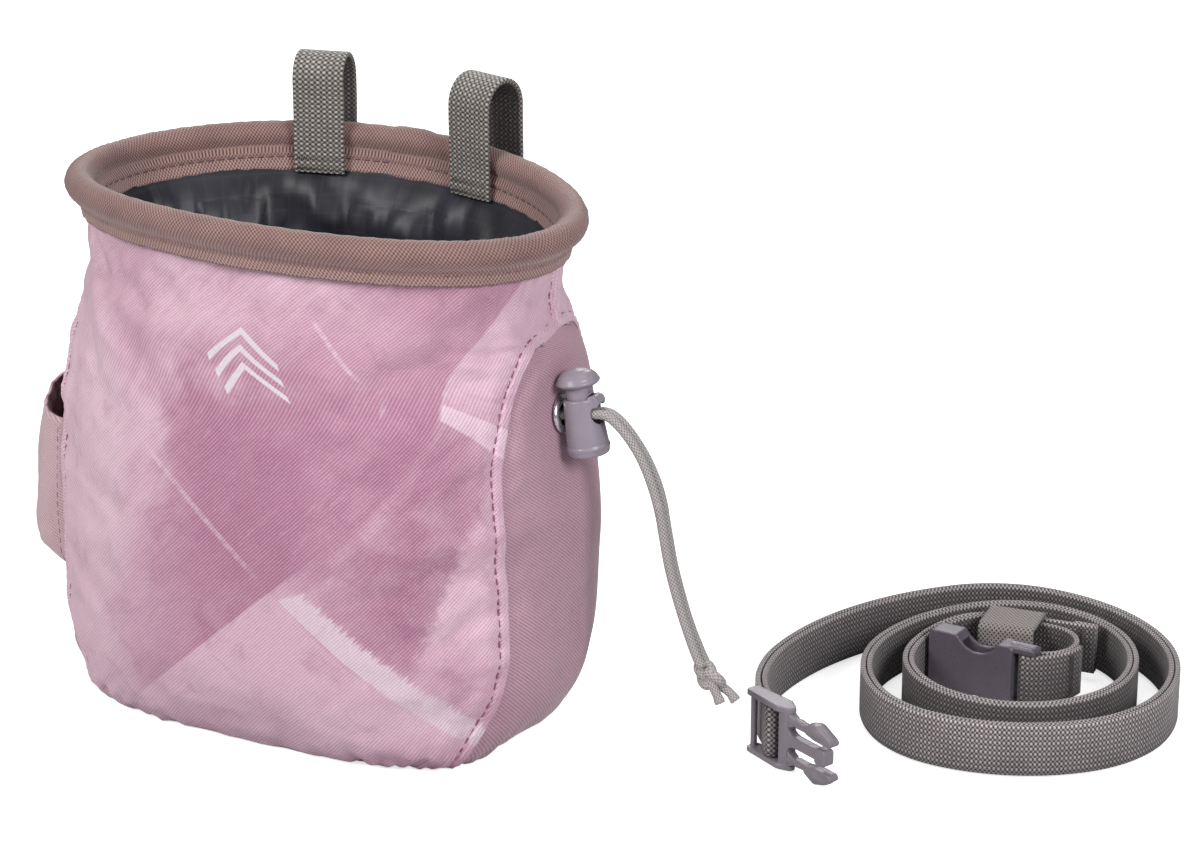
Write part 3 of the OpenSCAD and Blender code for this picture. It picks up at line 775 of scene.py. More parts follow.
def tape_material():
    """Firm woven tape: staggered small cells and ribbed edges with dark gaps."""
    rib_pitch, centre_v = 1.08, -79.8
    mat = Mat("binding_tape", (158, 125, 119))
    vector, u, v = mat.uv()
    first, second = knobs(u + v * 0.18, v, rib_pitch, 1.5)
    height = (first ** 0.6).max(second ** 0.6)
    height = height * 0.9 + mat.noise(vector, 2.0, 2).signed() * 0.12
    from_centre = abs(v + -centre_v)
    ribs = u.wave(rib_pitch)
    edge = from_centre.fade(15.2, 15.8)
    mat.paint((144, 112, 108), mat.noise(vector, 0.06, 3, 0.6).fade(0.35, 0.7))
    # painted light: the flanges, shaded by the bead, are lightened
    mat.paint((204, 170, 162), from_centre.fade(7.5, 10.5) * 0.45)
    mat.paint((206, 176, 168), height.lerp(0.72, 1.0, 0.0, 0.35))
    mat.paint((84, 56, 55), height.lerp(0.22, 0.66, 0.92, 0.0))
    mat.paint((84, 58, 58), edge * (1.0 - ribs) * 0.75)
    # painted shade in the crease under the bead on the outside
    crease_shade = v.fade(-93.2, -92.6) * v.drop(-91.6, -90.6)
    mat.paint((110, 76, 78), crease_shade * 0.3)
    return mat.finish(0.72, mat.bump(height + edge * ribs * 0.2, 0.24, 0.8), sheen=0.25,
                      spec=0.3)


def webbing_material(name, base, dark, pitch_across, pitch_along):
    """Plain heavy weave: a net of small knobs, a lower one set between every four."""
    mat = Mat(name, base)
    vector, u, v = mat.uv()
    wobble = mat.noise(vector, 0.5, 2).signed() * 0.10
    high, low = knobs(u + wobble, v + wobble, pitch_along, pitch_across)
    height = (high ** 0.8).max(low ** 0.8 * 0.6) + mat.noise(vector, 2.6, 2).signed() * 0.10
    mat.paint(shade(base, 0.92), mat.noise(vector, 0.12, 3, 0.6).fade(0.35, 0.7))
    mat.paint(dark, height.lerp(0.12, 0.72, 1.0, 0.0))
    mat.paint(shade(base, 1.22), height.lerp(0.75, 1.05, 0.0, 0.4))
    # painted shade: darker where the coils stand close together (distance in metres)
    occlusion_shade = mat.node("ShaderNodeAmbientOcclusion", {"Distance": 0.03}, samples=8)
    mat.paint(dark, Value(mat, occlusion_shade.outputs["AO"]).lerp(0.35, 0.85, 0.72, 0.0))
    return mat.finish(0.62, mat.bump(height, 0.34, 0.85), sheen=0.2, spec=0.35)


def elastic_material():
    mat = Mat("elastic", (150, 142, 140))
    vector, u, v = mat.uv()
    height = slanted(u, v, 40).wave(1.0).max(slanted(u, v, -40).wave(1.0)) * 0.85
    height = height + mat.noise(vector, 2.0, 2).signed() * 0.12
    mat.paint((46, 41, 43), height.lerp(0.15, 0.8, 0.95, 0.0))
    return mat.finish(0.7, mat.bump(height, 0.3, 0.8), sheen=0.2, spec=0.3)


def cord_material():
    """Braid of staggered picks."""
    mat = Mat("cord", (180, 173, 172))
    vector, u, v = mat.uv()
    first, second = knobs(u, v, 1.15, 1.02)
    height = first.max(second) ** 0.6 + mat.noise(vector, 2.6, 2).signed() * 0.08
    mat.paint((80, 73, 76), height.lerp(0.1, 0.7, 0.9, 0.0))
    return mat.finish(0.7, mat.bump(height, 0.22, 0.9), sheen=0.25, spec=0.3)


def plastic_material(name, base, rough):
    """Moulded plastic, lighter on sharp edges."""
    mat = Mat(name, base)
    vector = mat.object_vector()
    fine = mat.noise(vector, 1.4, 3, 0.6)
    mat.paint(shade(base, 0.9), mat.noise(vector, 0.18, 2).fade(0.35, 0.7) * 0.35)
    # lighter along every sharp edge, found by pointiness
    edges = Value(mat, mat.node("ShaderNodeNewGeometry", {}).outputs["Pointiness"])
    mat.paint(shade(base, 1.14), edges.fade(0.52, 0.6) * 0.35)
    return mat.finish(fine.lerp(0.3, 0.7, rough - 0.05, rough + 0.09),
                      mat.bump(fine, 0.03, 0.5), subsurface=0.03)


def metal_material(name, base, rough):
    mat = Mat(name, base)
    noise = mat.noise(mat.object_vector(), 0.9, 4, 0.6)
    mat.paint(shade(base, 0.88), noise.fade(0.4, 0.7))
    return mat.finish(noise.lerp(0.3, 0.7, rough, rough + 0.15),
                      mat.bump(noise, 0.02, 0.4), metal=1.0)


def nylon_material():
    """Dark crumpled cloth with a ripstop grid; its colours are set darker than the cloth as
    painted shade for the inside of the bag.
    """
    ripstop_pitch, thread_pitch = 5.0, 0.5
    # the cloth's own dark grey, lowered further as painted shade for the inside of the bag
    mat = Mat("sleeve_nylon", (36, 36, 46))
    vector, u, v = mat.uv()
    ripstop = (u.wave(ripstop_pitch) ** 24.0).max(v.wave(ripstop_pitch) ** 24.0)
    threads = u.wave(thread_pitch) * 0.7 + v.wave(thread_pitch) * 0.3
    crumple = mat.noise(vector, 0.16, 4, 0.6, 0.6)
    mat.paint((19, 19, 27), mat.noise(vector, 0.05, 3).fade(0.35, 0.7))
    mat.paint((70, 70, 84), ripstop * 0.12)
    weave = mat.bump(threads * 0.12 + ripstop * 0.25, 0.08, 0.4)
    return mat.finish(0.46, mat.bump(crumple, 0.4, 0.06, weave), sheen=0.1, spec=0.42)


def fleece_material():
    mat = Mat("fleece", (176, 170, 174))
    vector = mat.uv_vector()
    pile = mat.noise(vector, 0.9, 5, 0.75, 0.6)
    mat.paint((206, 200, 203), pile.fade(0.35, 0.7))
    height = pile + mat.noise(vector, 0.2, 3, 0.6) * 0.6
    return mat.finish(0.95, mat.bump(height, 0.7, 0.8), sheen=0.8, spec=0.15)


def thread_material(name, base):
    mat = Mat(name, base)
    noise = mat.noise(mat.object_vector(), 3.0, 2)
    mat.paint(shade(base, 0.8), noise.fade(0.3, 0.7))
    return mat.finish(0.6, mat.bump(noise, 0.05, 0.6), sheen=0.2)


PRINT = print_material("shell_print", 1.0)
PRINT_BACK = print_material("shell_print_back", 0.0)
SIDE = twill_material("side_fabric", (200, 162, 176), (124, 84, 101), -39)
SLEEVE = twill_material("brush_sleeve_fabric", (222, 192, 199), (140, 102, 114), -20)
SLEEVE_INSIDE = twill_material("brush_sleeve_lining", (112, 72, 82), (62, 36, 44), 45)
TAPE = tape_material()
WEBBING = webbing_material("webbing", (204, 194, 194), (28, 24, 26), 1.56, 1.22)
LOOP_WEBBING = webbing_material("loop_webbing", (182, 175, 169), (40, 36, 35), 1.75, 1.4)
ELASTIC = elastic_material()
CORD = cord_material()
LOCK_PLASTIC = plastic_material("lock_plastic", (146, 138, 149), 0.32)
SOCKET_PLASTIC = plastic_material("socket_plastic", (94, 86, 96), 0.30)
PLUG_PLASTIC = plastic_material("plug_plastic", (130, 123, 131), 0.32)
EYELET_METAL = metal_material("eyelet_metal", (226, 226, 230), 0.16)
SPRING_STEEL = metal_material("spring_steel", (190, 190, 196), 0.25)
NYLON = nylon_material()
FLEECE = fleece_material()
SEAM_THREAD = thread_material("seam_thread", (158, 98, 122))
TAPE_THREAD = thread_material("tape_thread", (112, 78, 82))
WEBBING_THREAD = thread_material("webbing_thread", (84, 77, 75))
STIFFENER = plastic_material("stiffener", (60, 58, 62), 0.6)


# ------------------------------------------------------------------ cord axis
# the cord leaves the right side through the eyelet, tilted up
CORD_TILT = 10.0
CORD_DIR = np.array([cosd(CORD_TILT), 0, sind(CORD_TILT)])
EYELET = np.array([73.3, 1.5, 97.0])
LOCK = EYELET + 6.9 * CORD_DIR


def cord_place(point):
    """Places a piece at a point, with its x axis along the cord."""
    return shift_by(*point) @ rotation(-CORD_TILT, "Y")


# ------------------------------------------------------------------ shell: cloth pass
CLOTH_COLUMNS, CLOTH_ROWS, CLOTH_TOP = 180, 61, 144
CLOTH_TURNS = np.arange(CLOTH_COLUMNS) * 360.0 / CLOTH_COLUMNS - 180.0


def ring_neighbours(grid):
    return np.roll(grid, -1, 0) + np.roll(grid, 1, 0)


def height_neighbours(grid):
    padded = np.concatenate([grid[:, :1], grid, grid[:, -1:]], 1)
    return padded[:, 2:] + padded[:, :-2]


def drape_shell():
    """How far the shell cloth moves from the wall when blown up between its seams."""
    turn, z = np.meshgrid(CLOTH_TURNS, np.linspace(0, CLOTH_TOP, CLOTH_ROWS), indexing="ij")
    points = wall(turn, z, -0.4)
    enlarge = 8.0  # the sheet is simulated enlarged, which keeps the solver steady
    ripple = (value_noise(turn / 360 * 60 + 60, z, 1.0, 7.0, 5, 60) * 0.5
              + value_noise(turn / 360 * 24 + 24, z, 1.0, 18.0, 6, 24) * 0.8)
    start = (points * MM * enlarge
             + grid_normals(points, True) * ripple[..., None] * MM * enlarge)
    faces = []
    for i in range(CLOTH_COLUMNS):
        here, after = i * CLOTH_ROWS, (i + 1) % CLOTH_COLUMNS * CLOTH_ROWS
        faces += [[here + j, after + j, after + j + 1, here + j + 1]
                  for j in range(CLOTH_ROWS - 1)]
    mesh = bpy.data.meshes.new("shell_cloth")
    mesh.from_pydata(start.reshape(-1, 3).tolist(), [], faces)
    mesh.update()
    sheet = bpy.data.objects.new("shell_cloth", mesh)
    scene.collection.objects.link(sheet)

    # pinned at the top and bottom, and softly at the seams and the eyelet
    pin = sheet.vertex_groups.new(name="pin")
    seam_gap = np.min([np.abs(angle_gap(turn, seam)) for seam in seam_turns(z)], axis=0)
    hold = np.where((z > 138) | (z < 1.5), 1.0, bell(seam_gap, 0, 2.2) * 0.9)
    hold = np.maximum(hold, np.clip(1.3 - np.linalg.norm(points - EYELET, axis=-1) / 12, 0, 1))
    for i, weight in enumerate(hold.ravel()):
        if weight > 0.02:
            pin.add([i], float(weight), "REPLACE")

    cloth = sheet.modifiers.new("c", "CLOTH")
    settings = dict(
        quality=5, mass=0.25, air_damping=3.0,
        tension_stiffness=25, compression_stiffness=12, shear_stiffness=6,
        bending_stiffness=1.2, tension_damping=15, compression_damping=15,
        shear_damping=10, bending_damping=2, vertex_group_mass="pin", pin_stiffness=3.0,
        shrink_min=-0.022, use_pressure=True, uniform_pressure_force=0.8)
    for name, value in settings.items():
        setattr(cloth.settings, name, value)
    cloth.settings.effector_weights.gravity = 0.0
    cloth.collision_settings.use_collision = False
    cloth.collision_settings.use_self_collision = False
    cloth.point_cache.frame_start = 1
    cloth.point_cache.frame_end = 26
    for frame in range(1, 27):
        scene.frame_set(frame)
    result = sheet.evaluated_get(bpy.context.evaluated_depsgraph_get()).to_mesh()
    moved = np.empty(points.size)
    result.vertices.foreach_get("co", moved)
    move = moved.reshape(points.shape) / (MM * enlarge) - points
    scene.frame_set(1)
    bpy.data.objects.remove(sheet)

    size = np.linalg.norm(move, axis=-1, keepdims=True)
    move = move * np.minimum(1.0, 3.2 / np.maximum(size, 1e-6))
    return 0.5 * move + 0.125 * ring_neighbours(move) + 0.125 * height_neighbours(move)


def calm(move):
    """Smooth the cloth result round the right side, where the insert is stretched flat."""
    soft = move.copy()
    for _ in range(14):
        soft = 0.5 * soft + 0.25 * ring_neighbours(soft)
    for _ in range(18):
        soft = 0.5 * soft + 0.25 * height_neighbours(soft)
    mask = np.exp(-(angle_gap(CLOTH_TURNS, 32) / 30.0) ** 4)[:, None, None]
    return move * (1 - mask) + 0.8 * soft * mask


DRAPE = calm(drape_shell())


def drape_at(turn, z):
    """The cloth's move at any turn and height."""
    x = ((turn + 180) % 360) / 360 * CLOTH_COLUMNS
    y = np.clip(z, 0, CLOTH_TOP) / CLOTH_TOP * (CLOTH_ROWS - 1)
    i = np.floor(x).astype(int) % CLOTH_COLUMNS
    j = np.clip(np.floor(y).astype(int), 0, CLOTH_ROWS - 2)
    mix_x = (x - np.floor(x))[..., None]
    mix_y = (y - j)[..., None]
    k = (i + 1) % CLOTH_COLUMNS
    return ((DRAPE[i, j] * (1 - mix_x) + DRAPE[k, j] * mix_x) * (1 - mix_y)
            + (DRAPE[i, j + 1] * (1 - mix_x) + DRAPE[k, j + 1] * mix_x) * mix_y)


def wall_spot(turn, z, spot_turn, spot_z, reach, reach_z):
    """Soft mask round a place on the wall (reaches roughly in mm)."""
    across = angle_gap(turn, spot_turn) * 1.25
    return np.exp(-((across / reach) ** 2 + ((z - spot_z) / reach_z) ** 2))


# ------------------------------------------------------------------ shell: panels
# creases and soft bulges: (u0, v0, u1, v1, width, depth), a positive depth stands out
FRONT_CREASES = [
    (62, 122.5, 84, 119.0, 1.9, -1.5), (64, 118.5, 86, 114.5, 3.2, 0.9),
    (70, 128, 88, 127, 2.6, 0.8), (-60, 128, -44, 112, 4.0, 0.9),
    (-66, 118, -50, 98, 3.4, -0.8), (-84, 104, -74, 84, 5.0, 0.9),
    (-58, 136, -50, 127, 1.6, -1.1), (-50, 137, -46, 129, 1.8, 0.7),
    (-76, 12, -58, 30, 3.0, -0.9), (-66, 6, -54, 16, 1.6, -1.1),
    (-58, 3, -50, 11, 1.5, 0.8), (-70, 10, -66, 22, 1.4, 0.7),
    (-30, 60, 10, 40, 9.0, 0.6), (10, 95, 45, 80, 10.0, -0.6),
    (30, 60, 62, 40, 8.0, 0.5), (-70, 70, -40, 62, 9.0, -0.5),
    (40, 22, 66, 12, 4.0, -0.6), (20, 12, 45, 6, 3.0, 0.6), (54, 108, 70, 96, 5.0, 0.5)]
BACK_CREASES = [
    (20, 120, 50, 112, 3, 0.8), (-60, 118, -20, 124, 4, -0.8), (-50, 20, -20, 34, 6, 0.6),
    (30, 40, 60, 60, 7, -0.6), (-70, 60, -40, 80, 7, 0.6), (0, 100, 20, 60, 10, 0.5)]
SIDE_CREASES = [(-12, 70, 10, 64, 4, 0.5), (-10, 40, 14, 50, 6, -0.6),
                (-16, 14, 8, 20, 4, 0.6)]


def gathers(count, start, pitch, jitter, sway, top, bottom, width, depth, least):
    """A row of short random creases that hang from the mouth."""
    creases = []
    for k in range(count):
        u = start + pitch * k + rng.uniform(-jitter, jitter)
        creases.append((u, top, u + rng.uniform(-sway, sway), bottom - rng.uniform(0, 7),
                        width, depth * rng.uniform(least, 1)))
    return creases


FRONT_CREASES += gathers(17, 30, 3.4, 0.7, 1.5, 145, 134, 1.1, -0.75, 0.5)
FRONT_CREASES += gathers(22, -80, 5.0, 1.5, 1.5, 145, 135, 1.2, -0.5, 0.3)
BACK_CREASES += gathers(26, -85, 6.6, 2, 2, 144, 135, 1.3, -0.5, 0.3)


def crease_field(u, v, creases):
    height = np.zeros_like(u)
    for u0, v0, u1, v1, width, depth in creases:
        length = math.hypot(u1 - u0, v1 - v0)
        dir_u, dir_v = (u1 - u0) / length, (v1 - v0) / length
        run = (u - u0) * dir_u + (v - v0) * dir_v
        off = -(u - u0) * dir_v + (v - v0) * dir_u
        off = off + 0.6 * width * np.sin(run / length * 5.0 + u0) * 0.35
        share = np.clip(run / length, 0, 1)
        swell = 0.35 + 0.65 * np.sin(PI * np.clip(share * 0.86 + 0.1, 0, 1))
        height += (depth * bell(run, share * length, width * 1.3) * swell
                   * bell(off, 0, width))
    return height


def row_heights(*spans):
    """Heights of mesh rows from spans of (low, high, count)."""
    return np.unique(np.round(np.concatenate([np.linspace(*span) for span in spans]), 4))


PANEL_ROWS = row_heights((0, 8, 11), (8, 108, 78), (108, 124, 24), (124, 144.5, 17))
SIDE_ROWS = row_heights((0, 8, 9), (8, 108, 66), (108, 121.6, 16))


def panel(name, start, end, rows, columns, material, replaces, creases, top_layer, seed):
    """A sewn shell panel between two seams, given as turns at each row.

    The top layer laps over its neighbour with a folded and stitched edge; a lower
    layer stays under it. Returns the object, its grid, normals and edge distances.
    """
    overlap, offset = (1.3, 0.0) if top_layer else (0.9, -0.15)
    width = arc_len(wall(np.linspace(start, end, 40), rows))[-1]
    lap = (end - start) / np.maximum(width, 1e-3) * overlap
    start, end = start - lap, end + lap
    share = np.linspace(0, 1, columns)
    if top_layer:
        share = share - 0.085 * np.sin(2 * PI * share)
    share = (share - share[0]) / (share[-1] - share[0])
    turn = start + (end - start) * share[:, None]
    flat = wall(turn, rows)
    normals = grid_normals(flat)
    run = arc_len(flat)
    u = run - np.array([np.interp(0.5, share, column) for column in run.T])

    edge = np.full(turn.shape, 1e9)
    for side in (start, end):
        line = interp_rows(np.linspace(0, len(rows) - 1, 300), np.arange(len(rows)),
                           wall(side, rows))
        for i, column in enumerate(flat):
            gap = np.linalg.norm(column[:, None] - line, axis=-1).min(-1)
            edge[i] = np.minimum(edge[i], gap)

    height = crease_field(u, rows, creases)
    height += (0.35 * value_noise(u + 300, rows, 26, 22, seed)
               + 0.16 * value_noise(u + 300, rows, 9, 11, seed + 1))
    # puckers at the bottom
    pucker = 0.42 * np.sin(turn * 0.9 + 3 * value_noise(u + 300, rows, 20, 10, seed + 2))
    pucker = pucker + 0.5 * value_noise(u + 300, 3, 4.2, 5, seed + 3)
    height += pucker * bell(rows, 1, 6.5)
    if top_layer:
        # folded edge, stitch groove, swell beside it and puckers between stitches
        pucker = (0.30 * value_noise(rows + u * 0.2 + 400, 0, 3.1, 5, seed + 4)
                  + 0.18 * np.sin(rows * 2 * PI / 3.05))
        height += (0.62 * ease((3.3 - edge) / 0.9) - 0.45 * bell(edge, 3.0, 0.55)
                   + 0.55 * bell(edge, 6.5, 2.6))
        height += pucker * bell(edge, 3.2, 3.0)
        height -= 0.5 * ease((0.5 - edge) / 0.5)
    else:
        height += -0.45 * ease((4.5 - edge) / 3.0) + 0.4 * bell(edge, 8, 3.5)

    # quiet round the eyelet, and not standing out behind the brush sleeve
    quiet = 1 - np.clip(1.25 * wall_spot(turn, rows, 1.2, 97, 9, 9), 0, 1)
    points = (flat + drape_at(turn, rows) * quiet[..., None]
              + normals * (height * quiet)[..., None])
    behind = np.clip(wall_spot(turn, rows, 183.0, 58, 24, 34) * 1.5, 0, 1)
    out = ((points - flat) * normals).sum(-1)
    points = points - normals * (np.maximum(out + 0.1, 0) * behind)[..., None]
    out = ((points - flat) * normals).sum(-1)
    points = points - normals * np.maximum(out - 3.0, 0)[..., None] + normals * offset
    # under the tape the shell is held flat
    points = points + (flat - points) * ease((rows - 140.0) / 2.2)[..., None]
    points[..., 2] = np.maximum(points[..., 2], 0.0)
    normals = grid_normals(points)
    mesh = sheet_mesh(points, stack(u, rows), 0.8, normals)
    return add_piece(name, mesh, material, "bag", replaces), points, normals, edge


front_right, back_right, back_left, front_left = seam_turns(PANEL_ROWS)
FRONT = panel("shell_front", front_left - 360, front_right, PANEL_ROWS, 190, PRINT,
              ("front_panel",), FRONT_CREASES, True, 21)[1:]
BACK = panel("shell_back", back_right, back_left, PANEL_ROWS, 180, PRINT_BACK,
             ("back_panel",), BACK_CREASES, True, 41)[1:]
front_right, back_right, back_left, front_left = seam_turns(SIDE_ROWS)
right_side = panel("shell_side_right", front_right, back_right, SIDE_ROWS, 54, SIDE,
                   (), SIDE_CREASES, False, 61)[0]
panel("shell_side_left", back_left, front_left, SIDE_ROWS, 54, SIDE,
      ("side_panel_left",), SIDE_CREASES, False, 71)

# the cord's hole through the right side panel
bm = bmesh.new()
bm.from_mesh(right_side.data)
hole = []
for face in bm.faces:
    offset = np.array(face.calc_center_median()) / MM - EYELET
    depth = offset @ CORD_DIR
    if np.linalg.norm(offset - depth * CORD_DIR) < 4.0 and abs(depth) < 8:
        hole.append(face)
bmesh.ops.delete(bm, geom=hole, context="FACES")
bm.to_mesh(right_side.data)
bm.free()
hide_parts("side_panel_right")


def disc(rim, centre, shares):
    """Rings from a centre out to a rim at the given shares."""
    return centre + (rim - centre)[:, None] * shares[:, None]


# base: a slightly uneven bottom with a turned edge
shares = np.array([0.0, .35, .6, .78, .9, .97, 1.0])[::-1]
bottom = disc(wall(np.arange(0, 360, 3.0), 0.0, -1.0), np.array([-3.0, 0.0, 0.0]), shares)
uneven = value_noise(bottom[..., 0] + 200, bottom[..., 1] + 200, 12, 9, 8)
bottom[..., 2] = 0.05 + 0.9 * (1 - shares) ** 0.5 * 0.3 + 0.12 * (uneven + 1)
top = bottom.copy()
top[..., 2] = 1.25
loops = np.concatenate([bottom, top[:, ::-1]], 1)
uvs = np.concatenate([loops[..., :2], loops[:, :1, :2]], 1)
uvs = np.concatenate([uvs, uvs[:1]], 0)
add_piece("shell_base", sweep_mesh(loops, uvs, True), SIDE, "bag",
          ("base_panel",))


# ------------------------------------------------------------------ stitches
def stitches(name, path, normals, pitch, length, radius, sink, thread):
    """Thread dashes with round ends laid along a path on the bag."""
    run = arc_len(path)
    round_end = np.radians(np.linspace(0, 90, 5))
    end = (length - 2 * radius) / 2 + radius * 0.9 * np.cos(round_end)
    along = np.concatenate([-end, end[::-1]])
    girth = radius * np.sin(round_end)
    girth = np.concatenate([girth, girth[::-1]])[:, None]
    sides = 7
    turn = 2 * PI * np.arange(sides) / sides
    bend = -sink - 0.22 * (2 * along / length) ** 2 + radius * 0.5
    height = (bend[:, None] + girth * np.sin(turn) * 0.8)[..., None]
    across = (girth * np.cos(turn))[..., None]
    dash = []
    for i in range(len(along) - 1):
        for k in range(sides):
            after = (k + 1) % sides
            dash.append([i * sides + k, i * sides + after,
                         (i + 1) * sides + after, (i + 1) * sides + k])
    dash.append([k for k in range(sides)][::-1])
    dash.append([(len(along) - 1) * sides + k for k in range(sides)])

    points, faces = [], []
    x = pitch * 0.5
    while x < run[-1] - pitch * 0.4:
        centre, back, ahead = [interp_rows(at, run, path)
                               for at in (x, x - length / 2, x + length / 2)]
        tangent = (ahead - back) / (np.linalg.norm(ahead - back) + 1e-9)
        normal = interp_rows(x, run, normals)
        normal = unit(normal - (normal @ tangent) * tangent)
        ring = (centre + tangent * along[:, None, None] + normal * height
                + np.cross(tangent, normal) * across)
        base = len(points) * len(along) * sides
        points.append(ring.reshape(-1, 3))
        faces += [[base + i for i in face] for face in dash]
        x += pitch
    mesh = face_outwards(make_mesh(np.concatenate(points), faces))
    add_piece(name, mesh, thread, "bag")


def seam_stitches(name, points, normals, edge, at_end):
    """Stitches 3 mm in from the start or end edge of a panel."""
    inset = 3.0
    if at_end:
        points, normals, edge = points[::-1], normals[::-1], edge[::-1]
    path, path_normals = [], []
    for j in range(points.shape[1]):
        gap = edge[:, j]
        for i in range(len(gap) // 2):
            if (gap[i] - inset) * (gap[i + 1] - inset) <= 0:
                share = (inset - gap[i]) / (gap[i + 1] - gap[i] + 1e-9)
                point = points[i, j] * (1 - share) + points[i + 1, j] * share
                if 1.0 <= point[2] <= 136:
                    path.append(point)
                    path_normals.append(normals[i, j])
                break
    path = np.array(path)
    smooth_path(path, 3)
    stitches(name, path, np.array(path_normals), 3.05, 2.2, 0.27, 0.0, SEAM_THREAD)


seam_stitches("stitch_front_right", *FRONT, True)
seam_stitches("stitch_front_left", *FRONT, False)
seam_stitches("stitch_back_right", *BACK, False)
seam_stitches("stitch_back_left", *BACK, True)

# ------------------------------------------------------------------ fleece cup
turns = np.arange(0, 360, 4.0)
heights = np.array([4.5, 8, 14, 22, 34, 48, 64, 80, 96, 108, 118, 123.0])
column = turns[:, None]
outer = wall(column, heights, -3.4)
dent = np.minimum(0.5 * value_noise(column / 6, heights, 2, 14, 90, 30), 0)
outer = outer + grid_normals(outer, True) * dent[..., None] * 0.5
shares = np.array([0.0, .3, .55, .75, .88, .95])
floor_centre = np.array([-2.5, 0, 0])
outer_floor = disc(wall(turns, 4.5, -3.4), floor_centre, shares)
outer_floor[..., 2] = 2.2 + 2.0 * shares ** 6
inner_floor = disc(wall(turns, 6.0, -4.6), floor_centre, shares)
inner_floor[..., 2] = 3.6 + 2.2 * shares ** 6
inner = np.concatenate([inner_floor, wall(column, np.maximum(heights, 6.0), -4.7)], 1)
loops = np.concatenate([outer_floor, outer, inner[:, ::-1]], 1)
uvs = stack(np.append(turns, 360)[:, None] * 1.15, np.append(arc_len(loops[0]), 400))
add_piece("liner_cup", sweep_mesh(loops, uvs, True), FLEECE, "bag",
          ("fleece_liner",))

# ------------------------------------------------------------------ rim tape
turns = np.arange(0, 360, 1.5)
column = turns[:, None]
low, mid, high = [lean(turns, z) for z in (-8.0, -6.8, -5.4)]
low_mid = low * .5 + mid * .5
mid_high = mid * .5 + high * .5


def bead_arc(radius, rise, start, end, count, v_start, v_end):
    angle = np.linspace(start, end, count)
    return zip(np.zeros(count), radius * cosd(angle), radius * sind(angle) + rise,
               np.linspace(v_start, v_end, count))


# cross-section: lean of the wall, outward distance from it, height, texture v
SECTION = [
    (low, 1.25, -8.25, -96.5), (low, 1.7, -8.6, -96.0), (low, 2.15, -8.4, -95.6),
    (low, 2.28, -7.9, -95.1), (low_mid, 2.22, -7.4, -94.6), (mid, 2.2, -6.8, -94.0),
    (mid_high, 2.2, -6.2, -93.4), (high, 2.1, -5.7, -92.9), (high, 2.0, -5.2, -92.4),
    (high, 2.35, -4.3, -91.6),
    *bead_arc(3.98, 0.25, -46, 218, 34, -89.8, -69.4),
    (high, -2.75, -4.1, -68.8), (high, -2.35, -4.9, -68.0), (high, -2.3, -5.6, -67.3),
    (mid_high, -2.3, -6.3, -66.6), (mid, -2.25, -7.1, -65.8), (low, -2.3, -8.0, -64.9),
    (low, -2.4, -8.9, -64.0), (low, -2.3, -9.5, -63.4), (low, -1.85, -9.75, -62.9),
    (low, -1.35, -9.4, -62.4),
    # the hidden side, against the shell and the ring
    (low, -1.15, -7.4, 104), (mid, -1.15, -6.6, 108), (high, -1.15, -5.2, 112),
    *bead_arc(2.5, 0, 220, -40, 12, 114, 126),
    (high, 1.15, -5.2, 128), (mid, 1.15, -6.6, 132), (low, 1.15, -7.4, 136)]
out = np.stack([start + offset + 0 * turns for start, offset, *_ in SECTION], 1)
rise = np.array([[row[2] for row in SECTION]] * len(turns), float)
tape_v = np.array([row[3] for row in SECTION])
rim_run = closed_len(mouth(turns))
outside = (tape_v < 0)[None]
flange = ((tape_v < -90) | ((tape_v < 0) & (tape_v > -69.2)))[None]
normal_out = np.where(flange, np.sign(out - mid[:, None]), out / 4.3)
normal_up = np.where(flange, 0.0, rise / 4.3)
# ripples over the bead, waves in the two flanges
ripple = (0.12 * value_noise(column / 3, tape_v + 200, 1.0, 5.0, 15, 120)
          + 0.10 * np.sin(rim_run[:-1, None] * 2 * PI / 2.6))
waves = (0.16 * value_noise(column / 3, 0, 1.0, 5.0, 17, 120)
         * (0.4 + np.clip(-(rise + 6.6) / 1.6, 0, 1)))
amount = np.where(flange, waves, ripple * 0.8) * outside
out += normal_out * amount
rise += normal_up * amount
lower_edge = (np.abs(rise + 8.3) < 0.6) & (out > -2.2) | (rise < -9.2)
rise += np.where(lower_edge & outside,
                 0.16 * value_noise(column / 1.5, 0, 1.0, 5.0, 19, 240), 0)
# the tape's two ends lap at the back
lap = (ease((column - 86) / 1.6) * ease((95.5 - column) / 1.6)) * outside
out += normal_out * lap * 0.45
rise += normal_up * lap * 0.45
mesh = sweep_mesh(at_mouth(column, out, rise),
                  stack(rim_run[:, None], np.append(tape_v, 138)), True)
add_piece("rim_tape", mesh, TAPE, "bag", ("rim_binding",))

# name, outward distance, height, stitch length, thread radius, sink
TAPE_STITCHES = (("stitch_tape_outer", 1.95, -5.3, 1.8, 0.2, 0.08),
                 ("stitch_tape_inner", -2.3, -5.4, 2.0, 0.25, 0.0))
for name, offset, z, length, radius, sink in TAPE_STITCHES:
    ring = np.arange(0, 360.1, 1.5)
    facing = heading(ring)
    normals = stack(cosd(facing), sind(facing), 0) * np.sign(offset)
    stitches(name, at_mouth(ring, lean(ring, z) + offset, z), normals, 2.9, length, radius,
             sink, TAPE_THREAD)
set_node_material("rim_ring", STIFFENER)

# ------------------------------------------------------------------ closure sleeve
# a fixed dark lining behind, with eight pleats hung in front of it
lining_out = monotone_cubic([6.6, 7.6, 8.7, 9.8, 11.2, 12.8, 15, 18, 22, 30, 66],
                            [-1.5, -1.55, -2.2, -3.3, -4.7, -5.9, -7.2, -8.4, -9.2, -9.8, -9.8])


